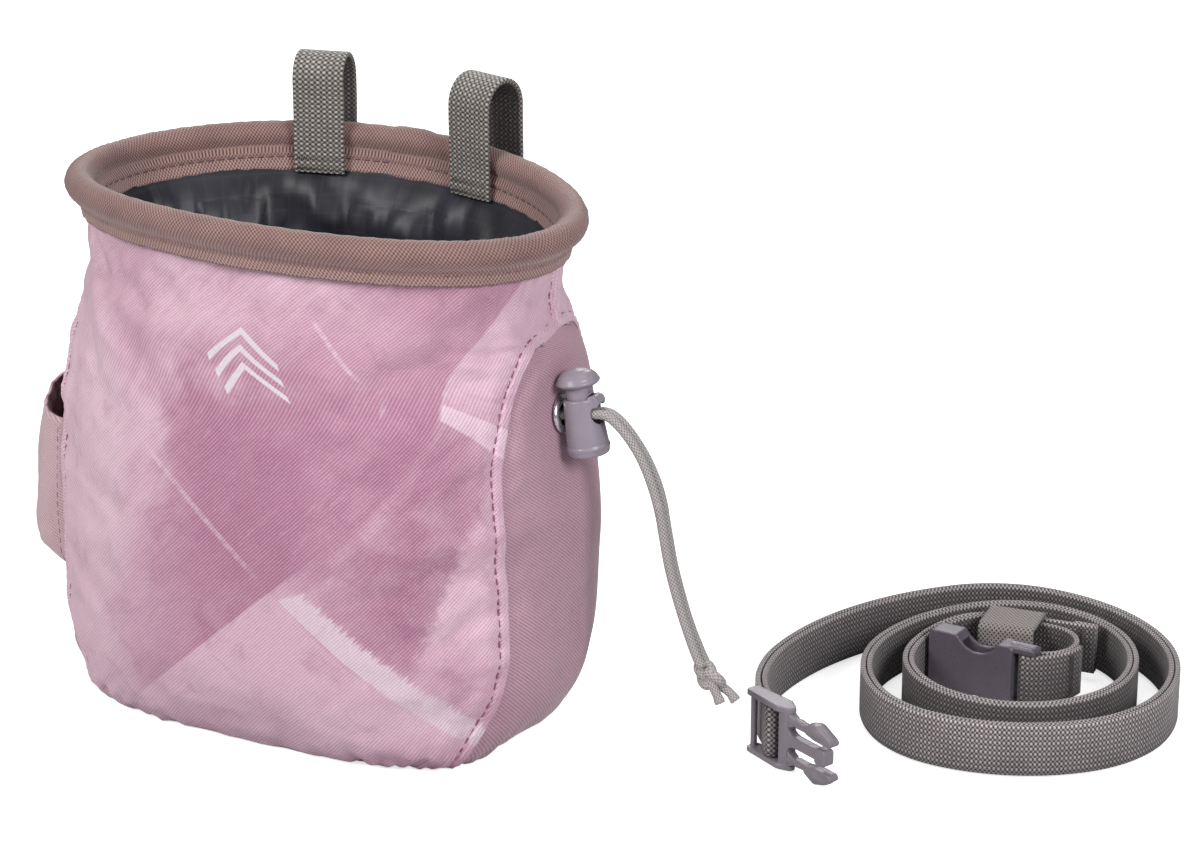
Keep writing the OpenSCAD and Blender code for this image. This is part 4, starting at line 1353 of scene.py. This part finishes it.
def lining_offset(turn, z):
    """Outward distance of the lining from the mouth line; it hangs in uneven folds."""
    depth = -z
    far = depth + 300
    folds = (value_noise(turn / 6.0 + depth * 0.02, far, 1.0, 19.0, 33, 60) * 1.5
             + value_noise(turn / 3.0 - depth * 0.05, far, 1.0, 12.0, 35, 120) * 0.8)
    sway = 1.3 * value_noise(turn / 12.0, far, 1.0, 24.0, 36, 30) * 3
    folds = folds + 0.9 * np.sin(np.radians(turn * 9) + sway + depth * 0.05)
    gathered = 0.28 * value_noise(turn / 1.5, 300, 1.0, 5.0, 37, 240) * bell(depth, 10.5, 3.0)
    return (lean(turn, -8.0) + lining_out(depth)
            + np.clip(folds * 1.15, -3.6, 1.7) * np.clip((depth - 9.0) / 9, 0, 1) + gathered)


heights = np.concatenate([[-6.6, -7.6, -8.7, -9.8, -11.2, -12.8], np.arange(-14.5, -66, -2.2)])
points = at_mouth(column, lining_offset(column, heights), heights)
normals = turned(grid_normals(points, True), 0, 6, (-1, 0, 0))
lining_run = closed_len(points[:, 4])
mesh = sheet_mesh(points, stack(lining_run[:, None], heights), 0.35, normals, closed=True)
add_piece("sleeve_lining", mesh, NYLON, "bag")

PLEAT_A, PLEAT_B, PLEAT_TOP = MOUTH_A - 11.5, MOUTH_B - 11.5, 134.0
PLEAT_WIDTHS = (18, 24, 32, 24) * 2


def add_pleat(number, width):
    """One pleat that swells out of the lining and sinks back into it along its edges."""
    turn = 45 * (number - 1)
    facing = math.degrees(math.atan2(sind(turn) / PLEAT_B, cosd(turn) / PLEAT_A))
    hinge = np.array([MOUTH_X + PLEAT_A * cosd(turn), MOUTH_Y + PLEAT_B * sind(turn), PLEAT_TOP])
    outward = np.array([cosd(facing), sind(facing), 0])
    sideways = np.array([-sind(facing), cosd(facing), 0])
    depth = np.concatenate([[-1.6, -0.9, 0.0, 1.2], np.linspace(2.6, 49, 26)])
    side = np.linspace(-1, 1, 29)[:, None]
    taper = (width / 2 - 2) * np.clip((depth - 0.5) / 49.5, 0, 1)
    across = side * ((width / 2 - taper) + 3.0 * ease(1 - depth / 24))
    flat = hinge + across[..., None] * sideways - UP * depth[:, None]
    turns_flat = np.degrees(np.arctan2((flat[..., 1] - MOUTH_Y) / PLEAT_B,
                                       (flat[..., 0] - MOUTH_X) / PLEAT_A))
    z = flat[..., 2] - mouth(turns_flat)[..., 2]
    middle = 1 - np.abs(side) ** 2.0
    uneven = 1 + 0.25 * value_noise(across + 60, depth + 10 * number, 6, 14, 200 + number)
    swell = (1.7 * ease(depth / 9) * (0.6 + 0.4 * ease((50 - depth) / 12))
             * middle ** 0.7 * uneven
             - 0.35 * (1 - ease(middle * 3.0)) - 0.3 * ease((1.0 - depth) / 2.0))
    swell[:, -1] = -0.3
    points = at_mouth(turns_flat, lining_offset(turns_flat, z) - swell, z)
    normals = turned(grid_normals(points), 14, 14, -outward)
    # the first pleat straddles turn 0, so its texture is taken from the far side
    texture_turn = turns_flat + 180 if number == 1 else turns_flat
    u = np.interp(texture_turn % 360, np.append(turns, 360), lining_run)
    flap = "sleeve_flap_%d" % number
    piece = add_piece("sleeve_pleat_%d" % number, sheet_mesh(points, stack(u, z), 0.3, normals),
                      NYLON, replaces=(flap,))
    blend_piece(piece)


for number, width in enumerate(PLEAT_WIDTHS, 1):
    add_pleat(number, width)
set_node_material("drawcord_inner", CORD)

# ------------------------------------------------------------------ brush sleeve
SLEEVE_Y, SLEEVE_HALF, SLEEVE_BOTTOM = -3, 18, 31.6
# how far the sleeve stands off the wall against the height
sleeve_depth = monotone_cubic(
    [31.6, 32.2, 33, 34, 35.5, 37, 39, 41.5, 46, 50, 60, 70, 80, 92],
    [0.3, 3.2, 8.0, 12.6, 16.0, 17.4, 18.1, 18.3, 17.6, 17.1, 15.4, 13.6, 12.4, 12.1])


def left_wall_x(y, z):
    share = z / BAG_HEIGHT
    power = wall_power(share)
    middle = centre_y(share)
    half = np.where(y < middle, half_front(share), half_back(share))
    part = np.clip(np.abs(y - middle) / half, 0, 1)
    return centre_x(share) - half_side(share) * (1 - part ** power) ** (1 / power)


def sleeve_point(angle, z, offset):
    y = SLEEVE_Y + (SLEEVE_HALF + offset) * cosd(angle)
    depth = (sleeve_depth(z) + offset) * np.abs(sind(angle)) ** 0.87
    return stack(left_wall_x(y, z) - 0.1 - depth, y, z)


angle = np.concatenate([[1.5, 3.5], np.linspace(6, 174, 64), [176.5, 178.5]])[:, None]
share = np.concatenate([np.linspace(0, 0.12, 22)[:-1], np.linspace(0.12, 0.94, 36)[:-1],
                        np.linspace(0.94, 1, 7)])
rim = 83.5 + 6.0 * cosd(angle) - 1.2 * sind(angle) ** 2
z = SLEEVE_BOTTOM + (rim - SLEEVE_BOTTOM) * share
slump = (0.45 * value_noise(angle / 9, z, 1.8, 16, 300)
         + 0.25 * value_noise(angle / 5, z, 1.0, 9, 303)
         - 0.5 * bell(z + 0.16 * (angle - 90), 56, 4)
         + 0.35 * bell(z - 0.1 * (angle - 90), 66, 5))
slump = slump + 0.4 * value_noise(angle / 5, z, 1.0, 4.5, 302) * bell(z, 36, 6)
hem = ease((share - 0.94) / 0.06)
slump = np.clip(slump, -0.6, 0.7) + 0.7 + 0.3 * np.sin(PI * hem) - 0.25 * hem
ends = (angle < 5) | (angle > 175)
slump = np.where(ends, 0.35, slump) * ease((z - 31.0) / 2.5)
points = sleeve_point(angle, z, slump)
points[..., 0] += 0.25 * ends
normals = turned(grid_normals(points), 30, 30, (-1, 0, 0))
uvs = stack(arc_len(points), z)
add_piece("brush_sleeve_cloth", sheet_mesh(points, uvs, 0.75, normals), SLEEVE,
          "bag", ("brush_sleeve", "brush_sleeve_hem"))
# a darker inside layer that sags off the cloth towards the top
sag = ((1.0 + value_noise(angle / 14, z + 50, 1.0, 12, 307)) * 1.1
       * np.clip(share - 0.45, 0, 1) / 0.55 * np.abs(sind(angle)) ** 0.5
       * (1 - 0.9 * ease((share - 0.955) / 0.045)))
inside = points - normals * (0.85 + sag)[..., None]
inside[..., 2] += 0.1 * (share > 0.99)
part = slice(2, -2), slice(3, None)
add_piece("brush_sleeve_inside", sheet_mesh(inside[part], uvs[part], 0.12, normals[part]),
          SLEEVE_INSIDE, "bag")
for number, i in ((1, 3), (0, -4)):
    stitches("stitch_sleeve_edge_%d" % number, points[i, 4:], normals[i, 4:], 2.9, 2.0, 0.2,
             0.05, SEAM_THREAD)


# ------------------------------------------------------------------ webbing
WEB_WIDTH, WEB_THICKNESS = 15.0, 1.5


def strap_profile(width, thickness):
    """Rounded flat section: across, out and the running texture coordinate."""
    radius = 0.55
    half = width / 2 - radius
    flat = np.linspace(-half, half, 13)
    step = 0.3 * np.arange(5)

    def edge(centre, angles, run):
        return stack(centre + radius * cosd(angles), (thickness / 2) * sind(angles), run + step)
    return np.concatenate([
        stack(flat, thickness / 2, flat + half),
        edge(half, [60, 30, 0, -30, -60], 2 * half + 0.25),
        stack(flat[::-1], -thickness / 2, 3 * half + 1.7 + flat),
        edge(-half, [-120, -150, 180, 150, 120], 4 * half + 1.95)]), 4 * half + 3.4


def strap_mesh(path, across, width=WEB_WIDTH, thickness=WEB_THICKNESS, squeeze=1.0,
               wave=0.0, seed=1):
    """Flat webbing along a path; across is the direction of its width."""
    face, across = frames_along(path, across)
    profile, girth = strap_profile(width, thickness)
    run = arc_len(path)[:, None]
    height = profile[:, 1] * (squeeze * np.ones(len(path)))[:, None]
    points = (path[:, None] + profile[:, 0, None] * across[:, None]
              + height[..., None] * face[:, None])
    ripple = wave * value_noise(run + 100, profile[:, 0] + 30, 14, 9, seed)
    points = points + ripple[..., None] * face[:, None]
    return sweep_mesh(points, stack(run, np.append(profile[:, 2], girth)))


def bar_tack(name, centre, along, across, normal, body, width=12.5, count=36, swing=1.0,
             radius=0.2):
    """Zigzag of thread laid across webbing."""
    path = (centre + np.linspace(-width / 2, width / 2, count)[:, None] * across
            + (swing * (-1.0) ** np.arange(count))[:, None] * along)
    add_piece(name, tube_mesh(path, radius, normal, 6), WEBBING_THREAD, body)


def add_belt_loop(side, turn, bulge):
    """Belt loop arched over the back of the mouth, with two tacks on its inner leg."""
    facing = heading(turn)
    foot = mouth(turn)
    outward = np.array([cosd(facing), sind(facing), 0])
    sideways = np.array([-sind(facing), cosd(facing), 0])
    arch = np.linspace(180, 0, 30)
    inner_z = np.arange(-9.3, 16.5, 0.9)
    outer_z = np.arange(16.0, 0.2, -0.9)
    tuck = np.linspace(0.05, 1, 11)
    outline = np.concatenate([
        stack(-6.5, inner_z),
        stack(0.5 + 7 * cosd(arch), 16.75 + 7.5 * sind(arch)),
        stack(7.5, outer_z),
        stack(7.4 - 5.6 * ease(tuck), -0.2 - 8.2 * tuck)])
    count = len(outline)
    outline = interp_rows(np.linspace(0, count - 1, count * 2), np.arange(count), outline)
    smooth_path(outline, 6)
    out = outline[:, 0] + 0.5 * np.sin(np.clip(outline[:, 1], 0, 25) / 25 * PI) * bulge
    path = foot + out[:, None] * outward + outline[:, 1:2] * UP
    squeeze = np.ones(len(path))
    squeeze[:3] = 0.85
    mesh = strap_mesh(path, sideways, squeeze=squeeze, wave=0.12, seed=400)
    piece = add_piece("loop_strap_" + side, mesh, LOOP_WEBBING,
                      replaces=("loop_" + side, "loop_tab_" + side))
    blend_piece(piece)
    for number, z in enumerate((-5.0, -7.9)):
        bar_tack("tack_%s_%d" % (side, number), foot - 7.15 * outward + z * UP, UP, sideways,
                 -outward, "bag", 13.2, 40, 0.45, 0.22)


add_belt_loop("left", 112.7, 1)
add_belt_loop("right", 70.6, -0.6)

# ------------------------------------------------------------------ eyelet
# profiles are (radius, z), turned about z and then laid along the cord
Z_TO_X = rotation(90, "Y")
EYELET_RING = [
    (3.2, -2.6), (3.15, -1), (3.15, 0.4), (3.3, 0.85), (3.7, 1.12), (4.2, 1.15), (4.8, 0.95),
    (5.25, 0.55), (5.42, 0.18), (5.35, 0.02), (5.1, 0.0), (4.1, 0.0), (3.8, -0.2), (3.75, -2.6)]
EYELET_BACK = [(3.95, -0.3), (3.9, 0), (3.95, 0.3), (4.6, 0.36), (5.1, 0.22), (5.2, 0),
               (5.1, -0.22), (4.6, -0.36)]
add_piece("eyelet_ring",
          placed(lathe_mesh(EYELET_RING, 72), cord_place(EYELET + 0.6 * CORD_DIR) @ Z_TO_X),
          EYELET_METAL, "bag", ("eyelet",))
add_piece("eyelet_back",
          placed(lathe_mesh(EYELET_BACK), cord_place(EYELET - 2.2 * CORD_DIR) @ Z_TO_X),
          EYELET_METAL, "bag", ("eyelet_washer",))

# ------------------------------------------------------------------ cord lock
LOCK_PLACE = cord_place(LOCK)
BARREL_RIDGE = [(5.72, -10.0), (5.98, -9.6), (5.98, -8.9), (5.72, -8.5), (5.2, -8.9),
                (5.2, -9.6)]
PLUNGER_RIDGE = [(5.2, 8.5), (5.95, 8.75), (6.05, 9.15), (5.8, 9.6), (5.1, 9.6)]
for name, node, body, ridge in (
        ("lock_barrel", "cord_lock_body", "cord_lock", BARREL_RIDGE),
        ("lock_plunger", "cord_lock_button", "lock_button", PLUNGER_RIDGE)):
    parts = [node_mesh(node), placed(lathe_mesh(ridge), LOCK_PLACE)]
    add_piece(name, soften(parts, 0.2, 5), LOCK_PLASTIC, body, (node,))

# the wire spring: four coils, round in section
share = np.linspace(0, 1, 260)
angle = 2 * PI * 4 * share
coil = stack(3.0 * np.cos(angle), 3.0 * np.sin(angle), -10.2 + 4.65 * share)
spring = add_piece("lock_spring", placed(tube_mesh(coil, 0.25, UP, 8), LOCK_PLACE),
                   SPRING_STEEL, replaces=("cord_lock_spring",))
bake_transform(spring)

# ------------------------------------------------------------------ cord
CORD_Y = EYELET[1]
CORD_RADIUS = 1.3
# (x, z) where the doubled cord hangs beyond the lock
HANGING = [(88.4, 98.9), (91.6, 96.8), (95, 93.3), (98.4, 88.6), (101.4, 82.6), (103.6, 76),
           (105.2, 68), (107.0, 59), (109.6, 50), (112.4, 42), (115.4, 35.0), (117.2, 31.6)]
whole = catmull([EYELET + s * CORD_DIR for s in (-8, -2, 4, 9, 12.5)]
                + [np.array([x, CORD_Y, z]) for x, z in HANGING], 0.9)
# cut so that both lengths share one curve
cut = int(np.argmin(np.abs(whole[:, 2] - 75.5) + 50 * (whole[:, 0] < 95)))
head = EYELET + (np.linspace(0, 20.5, 110) - 8)[:, None] * CORD_DIR
nearest = int(np.argmin(np.linalg.norm(whole - head[-1], axis=1)))


def cord_pair(path):
    """Two cords side by side that weave a little."""
    run = arc_len(path)
    sway = 0.16 * np.sin(run / 6.0) * ease((run - 24) / 20)
    cords = []
    for side in (-1, 1):
        shifted = path.copy()
        shifted[:, 1] += side * CORD_RADIUS
        shifted[:, 0] += sway * side
        cords.append(tube_mesh(shifted, CORD_RADIUS))
    return join(cords)


upper = add_piece("cord_run_upper", cord_pair(np.concatenate([head, whole[nearest + 1:cut + 3]])),
                  CORD, replaces=("cord_upper",))
blend_piece(upper)

# knot: two fat trefoils of cord, with two cut tails
KNOT = np.array([118.6, CORD_Y, 28.9])
parts = [cord_pair(whole[cut - 2:])]
angle = np.linspace(0, 2 * PI, 90)
for phase in (0.0, 0.35):
    trefoil = stack((np.sin(angle + phase) + 2 * np.sin(2 * angle + phase)) * 1.40,
                    (np.cos(angle + phase) - 2 * np.cos(2 * angle + phase)) * 0.86,
                    -np.sin(3 * angle + phase))
    tilt = rotation(35, "Y", 3) @ rotation(80 + 25 * phase, "X", 3)
    path = np.array([tilt @ Vector(point) for point in trefoil]) + KNOT
    parts.append(tube_mesh(path, 1.34, (0.31, 0.9, 0.29), 14, closed=True))
for y, x, z in ((-1.2, 4.4, -6.6), (1.2, 7.6, -6.4)):
    path = catmull([KNOT + (0.6, y * 0.5, 0), KNOT + (1.9, y, -2.2),
                    KNOT + (x * 0.72, y * 1.15, z * 0.64), KNOT + (x, y * 1.3, z)], 0.5)
    radius = np.full(len(path), 1.28)
    radius[-4:] = (1.36, 1.45, 1.5, 1.42)
    parts.append(tube_mesh(path, radius))
lower = add_piece("cord_run_lower", join(parts), CORD, replaces=("cord_lower",))
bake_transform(lower)

# ------------------------------------------------------------------ belt
# the belt's centre line from the plug to the socket: (radius, sweep in degrees,
# positive to the right); a radius of 0 is a straight of that length
BELT_ARCS = [
    (0, 4), (30, -5.5), (52.8, 41.5), (91.6, 45), (38.4, 45), (54, 90), (40.5, 45),
    (52.5, 45), (32.5, 45), (44.5, 45), (53.1, 45), (28.9, 45), (33.9, 45), (41.1, 45),
    (33.7, 45), (31.3, 45), (30, 90), (30.3, 45), (14, 45),
    (0, 13.7), (11.2, 90), (11.5, 80), (0, 1)]
PLUG_BAR = np.array([131.2, 16.7])
PLUG_HEADING = 126.0
BAR_RADIUS = 1.9   # from a buckle bar's centre to the webbing's middle
LAYER_HALF = 0.9   # half the distance between the two layers
TAIL_LENGTH = 53
MID_HEIGHT = UP * WEB_WIDTH / 2


def along_arc(x, y, direction, radius, sweep, share):
    if radius == 0:
        return (x + sweep * share * cosd(direction), y + sweep * share * sind(direction),
                direction)
    signed = radius * (1 if sweep > 0 else -1)
    later = direction - sweep * share
    return (x + signed * sind(direction) - signed * sind(later),
            y - signed * cosd(direction) + signed * cosd(later), later)


place = (*PLUG_BAR, PLUG_HEADING)
track = []
for radius, sweep in BELT_ARCS:
    length = sweep if radius == 0 else abs(math.radians(sweep)) * radius
    count = max(1, int(round(length / 1.6)))
    track += [along_arc(*place, radius, sweep, k / count) for k in range(count)]
    place = along_arc(*place, radius, sweep, 1)
track = np.array([*track, place])
run = arc_len(track[:, :2])
total = run[-1]


def lift(at):
    return 0.3 + 1.75 * ease(1 - at / 35) + 1.75 * ease((at - total + 85) / 25)


def beside(offset):
    """The track moved to its left."""
    return stack(track[:, 0] - offset * sind(track[:, 2]),
                 track[:, 1] + offset * cosd(track[:, 2]), lift(run))


def wrap(centre, start, height):
    """Half turn round a buckle bar."""
    angle = start + np.arange(9, 172, 9.0)
    return stack(centre[0] + BAR_RADIUS * cosd(angle), centre[1] + BAR_RADIUS * sind(angle),
                 height)


spread = LAYER_HALF + (BAR_RADIUS - LAYER_HALF) * ease(1 - run / 9)
tail_index = int(np.searchsorted(run, total - TAIL_LENGTH))
tail_x, tail_y = track[tail_index, :2]
step = np.linspace(5, 0.25, 20)
tail = stack(tail_x + 5.6 * step * cosd(5),
             tail_y + LAYER_HALF + 5.6 * step * sind(5) + 1.1 * ease(step / 4), lift(total))
last_heading = track[-1, 2]
socket_end = beside(-LAYER_HALF)[-1]
SOCKET_BAR = socket_end[:2] + BAR_RADIUS * np.array([-sind(last_heading), cosd(last_heading)])
# the short end that comes back from the socket bar
left = total - run
gap = 1.62
back = beside(-LAYER_HALF + gap + (2 * BAR_RADIUS - gap) * ease(1 - left / 9))
back = back[(left > 0.3) & (left < 18.5)][::-1]
path = np.concatenate([
    tail, beside(spread)[tail_index::-1], wrap(PLUG_BAR, PLUG_HEADING + 90, lift(0.0)),
    beside(-spread), wrap(SOCKET_BAR, last_heading - 90, lift(total)), back])
kept = [path[0]]
for point in path[1:]:
    if np.linalg.norm(point - kept[-1]) > 0.32:
        kept.append(point)
path = np.array(kept)
smooth_path(path, 2)
add_piece("belt_strap", strap_mesh(path + MID_HEIGHT, UP, wave=0.05, seed=500), WEBBING,
          "belt", ("belt_webbing",))

# the tail's turned and sewn end
path_run = arc_len(path)[1:]
end = path[:int(np.searchsorted(path_run, 9.0))]
tail_dir = unit(end[1] - end[0])
tail_normal = unit(np.array([-tail_dir[1], tail_dir[0], 0]))
outward = tail_normal if tail_normal[1] > 0 else -tail_normal
add_piece("belt_tail_fold", strap_mesh(end + outward * 1.42 + MID_HEIGHT, UP, 14.8, 1.25),
          WEBBING, "belt")
TACK_OUT = 0.82
centre = path[int(np.searchsorted(path_run, 5.0))] + MID_HEIGHT
bar_tack("tack_tail", centre - outward * TACK_OUT, tail_dir, UP, tail_normal, "belt", swing=0.9)
i = int(len(back) * 0.72)
along = unit(back[i + 1] - back[i - 1])
normal = np.array([-along[1], along[0], 0])
for number, sign in ((1, 1), (0, -1)):
    bar_tack("tack_socket_%d" % number, back[i] + MID_HEIGHT + normal * sign * TACK_OUT,
             along, UP, normal, "belt")

# ------------------------------------------------------------------ keeper
KEEPER_Y, KEEPER_Z, KEEPER_RADIUS = 6.0, 7.0, 2.0
corners = []
for sign_y, sign_z, start in ((1, 1, 0), (-1, 1, 90), (-1, -1, 180), (1, -1, 270)):
    angle = np.linspace(start, start + 90, 9)
    corners.append(stack(sign_y * KEEPER_Y + KEEPER_RADIUS * cosd(angle),
                         sign_z * KEEPER_Z + KEEPER_RADIUS * sind(angle)))
corners = np.concatenate(corners)
ring = []
for here, after in zip(corners, np.roll(corners, -1, 0)):
    count = max(1, int(np.linalg.norm(after - here) / 0.9))
    ring += [here + (after - here) * k / count for k in range(count)]
ring = np.array(ring)
ahead = ring_neighbours(ring) - 2 * np.roll(ring, 1, 0)
ring_normals = unit(stack(ahead[:, 1], -ahead[:, 0]))
ring_run = closed_len(ring)[:, None]
band_x = np.linspace(-8, 8, 21)
# band section: position along the belt and depth from the outer face
band = np.concatenate([stack(band_x, 0.0), [(8.15, -0.3), (8.15, -0.8)],
                       stack(band_x[::-1], -1.1), [(-8.15, -0.8), (-8.15, -0.3)]])
bulge = band[:, 1] + 0.12 * value_noise(ring_run[:-1] / 5, band[:, 0] + 50, 1, 6, 610)
points = stack(band[:, 0], ring[:, 0, None] + ring_normals[:, 0, None] * bulge,
               ring[:, 1, None] + ring_normals[:, 1, None] * bulge)
mesh = sweep_mesh(points, stack(ring_run, np.append(band[:, 0], band[0, 0])), True)
add_piece("keeper_band", placed(mesh, shift_by(167.5, 101.7, 9.4) @ rotation(7, "Z")),
          ELASTIC, "keeper", ("belt_keeper",))

# ------------------------------------------------------------------ buckle
# both halves are drawn with x away from the bar, z across the webbing
BUCKLE = 19.0
SOCKET_PLACE = shift_by(*SOCKET_BAR, 0) @ rotation(175.5, "Z")
PLUG_PLACE = shift_by(*PLUG_BAR, 0) @ rotation(-25.5, "Z")
parts = [slab(-3.1, 5.2, 5.0, BUCKLE - 1.9, BUCKLE + 0.15, 0.95)]
for y in (-1.5, 1.5):
    parts.append(rod((-2.2, y, BUCKLE - 0.85), (5.0, y, BUCKLE - 0.85), 1.12))
parts = [node_mesh("buckle_socket")] + [placed(part, SOCKET_PLACE) for part in parts]
add_piece("socket_shell", soften(parts, 0.24, 7), SOCKET_PLASTIC, "socket",
          ("buckle_socket",))

parts = []
# end plates
for z_low, z_high in ((0.15, 1.6), (BUCKLE - 1.8, BUCKLE + 0.05)):
    parts.append(plate([(-8.5, -1.2, 1.0), (-8.5, 1.2, 1.0), (4.6, -1.9, 1.0),
                        (4.6, 1.9, 1.0), (7.4, 0, 1.5)], z_low, z_high))
# webbing bars and the crossbar
parts.append(rod((-8.4, 0, 0.8), (-8.4, 0, BUCKLE - 0.8), 0.95))
parts.append(rod((0, 0, 0.8), (0, 0, BUCKLE - 0.8), 1.0))
parts.append(slab(4.4, 7.8, 3.7, 0.4, BUCKLE - 0.3, 0.9))
parts.append(rod((6.2, 0, 0.9), (6.2, 0, BUCKLE - 0.9), 1.95))
# middle prong: two rails, their ends, a web between them and the tip
for rail_z in (7.9, 10.2):
    parts.append(slab(6.5, 22.5, 2.7, rail_z, {7.9: 8.8, 10.2: 11.1}[rail_z], 0.4))
parts.append(slab(17.4, 22.5, 2.7, 7.9, 11.1, 0.6))
parts.append(slab(6.5, 9.2, 2.7, 7.9, 11.1, 0.5))
parts.append(slab(8, 18, 0.8, 8.3, 10.7, 0.3, y=-0.95))
parts.append(slab(19.6, 23.8, 3.7, 6.95, 11.85, 1.1))
# fillets where the prong leaves the crossbar
for z, sign in ((7.9, -1), (11.1, 1)):
    fillet = [(7.0, z), (10.6, z), (9.2, z + 0.3 * sign), (8.3, z + 0.9 * sign),
              (7.7, z + 1.9 * sign), (7.0, z + 2.9 * sign)]
    parts.append(prism(fillet[::sign], -1.4, 1.4))
parts = [placed(part, PLUG_PLACE) for part in parts]
add_piece("plug_frame", soften(parts, 0.22, 9), PLUG_PLASTIC, "plug",
          ("buckle_plug",))

for name, z, sign in (("lower", 3.6, -1), ("upper", BUCKLE - 3.8, 1)):
    arm_place = PLUG_PLACE @ shift_by(0, 0, z)
    x = np.linspace(6.0, 17.5, 16)
    beam = tube_mesh(stack(x, 0.0, 0.10 * sign * np.sin((x - 6) / 11 * PI)),
                     np.interp(x, [6, 8, 11, 14.5, 17.5], [1.9, 1.55, 1.22, 1.12, 1.3]),
                     sides=20)
    x = np.linspace(15.3, 26.0, 26)
    hook = sign * (0.15 + 0.55 * ease((x - 15.5) / 3) - 1.0 * ease((x - 20.5) / 5.5))
    head = tube_mesh(stack(x, 0.0, hook),
                     np.interp(x, [15.3, 16.0, 17.2, 18.6, 20.2, 22.5, 24.6, 25.6, 26.0],
                               [0.9, 1.5, 2.05, 2.3, 2.35, 1.95, 1.35, 0.85, 0.3]), sides=24)
    fillets = [prism([(7.0, 1.0), (10.0, 1.1), (8.6, 1.75), (7.0, 3.0)][::-1], -1.35, 1.35),
               prism([(7.0, -1.0), (10.0, -1.1), (8.6, -1.75), (7.0, -3.0)], -1.35, 1.35)]
    beam, head, *fillets = [placed(part, arm_place) for part in (beam, head, *fillets)]
    node = "plug_arm_" + name
    prong = add_piece("plug_prong_" + name,
                      soften([beam, head, node_mesh(node), *fillets], 0.2, 9),
                      PLUG_PLASTIC, replaces=(node,))
    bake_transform(prong)

# ------------------------------------------------------------------ floor
bpy.ops.mesh.primitive_plane_add(size=6, location=(0, 0, -0.0004))
floor = bpy.context.active_object
floor.name = "floor"
# the paper glows to the camera only, so that it reads as near white
paper = Mat("floor_paper")
vector = paper.object_vector()
seen = Value(paper, paper.node("ShaderNodeLightPath", {}).outputs["Is Camera Ray"])
paper.put(paper.shader.inputs["Emission Color"], (1, 1, 1, 1))
paper.put(paper.shader.inputs["Emission Strength"], seen * 0.68)
mottled = paper.mix(paper.noise(vector, 0.02, 3), srgb(247, 247, 247), srgb(243, 243, 244))
paper.colour = paper.mix(seen, srgb(190, 190, 192), mottled)
floor.data.materials.append(
    paper.finish(0.85, paper.bump(paper.noise(vector, 0.5, 3), 0.05, 0.3), spec=0.2))


# ------------------------------------------------------------------ light and camera
def area_light(name, location, target, size, power, color=(1, 1, 1)):
    """Rectangular light aimed at a target; places in metres, power in watts."""
    light = bpy.data.lights.new(name, "AREA")
    light.shape = "RECTANGLE"
    light.size, light.size_y = size
    light.energy = power
    light.color = color
    lamp = bpy.data.objects.new(name, light)
    scene.collection.objects.link(lamp)
    lamp.location = location
    aim = Vector(target) - Vector(location)
    lamp.rotation_euler = aim.to_track_quat("-Z", "Y").to_euler()


area_light("key", location=(-0.50, -1.15, 1.00), target=(0.0, 0, 0.08), size=(0.6, 0.6),
           power=14.8, color=(1.0, 0.99, 0.98))
area_light("fill", location=(1.20, -0.60, 0.80), target=(0.05, 0, 0.06), size=(0.5, 0.5),
           power=13.6, color=(0.99, 0.99, 1.0))
area_light("top", location=(0.05, 0.15, 1.35), target=(0.05, 0.05, 0.0), size=(0.8, 0.7),
           power=3.6)
area_light("rim", location=(-0.5, 1.1, 0.8), target=(0, 0, 0.1), size=(0.6, 0.5), power=5.0)
world = bpy.data.worlds.new("studio")
scene.world = world
world.use_nodes = True
background = world.node_tree.nodes["Background"]
background.inputs["Color"].default_value = (1, 1, 1, 1)
background.inputs["Strength"].default_value = 0.16

lens = bpy.data.cameras.new("cam")
lens.lens = 105.9
lens.sensor_width = 36.0
lens.sensor_fit = "HORIZONTAL"
lens.clip_start = 0.05
lens.clip_end = 20
camera = bpy.data.objects.new("cam", lens)
scene.collection.objects.link(camera)
camera.location = (0.505, -0.788, 0.420)
camera.rotation_euler = (math.radians(70), 0, math.radians(28))
scene.camera = camera
view = scene.view_settings
view.view_transform = "Standard"
view.look = "None"
view.exposure = 0.0
view.gamma = 1.0
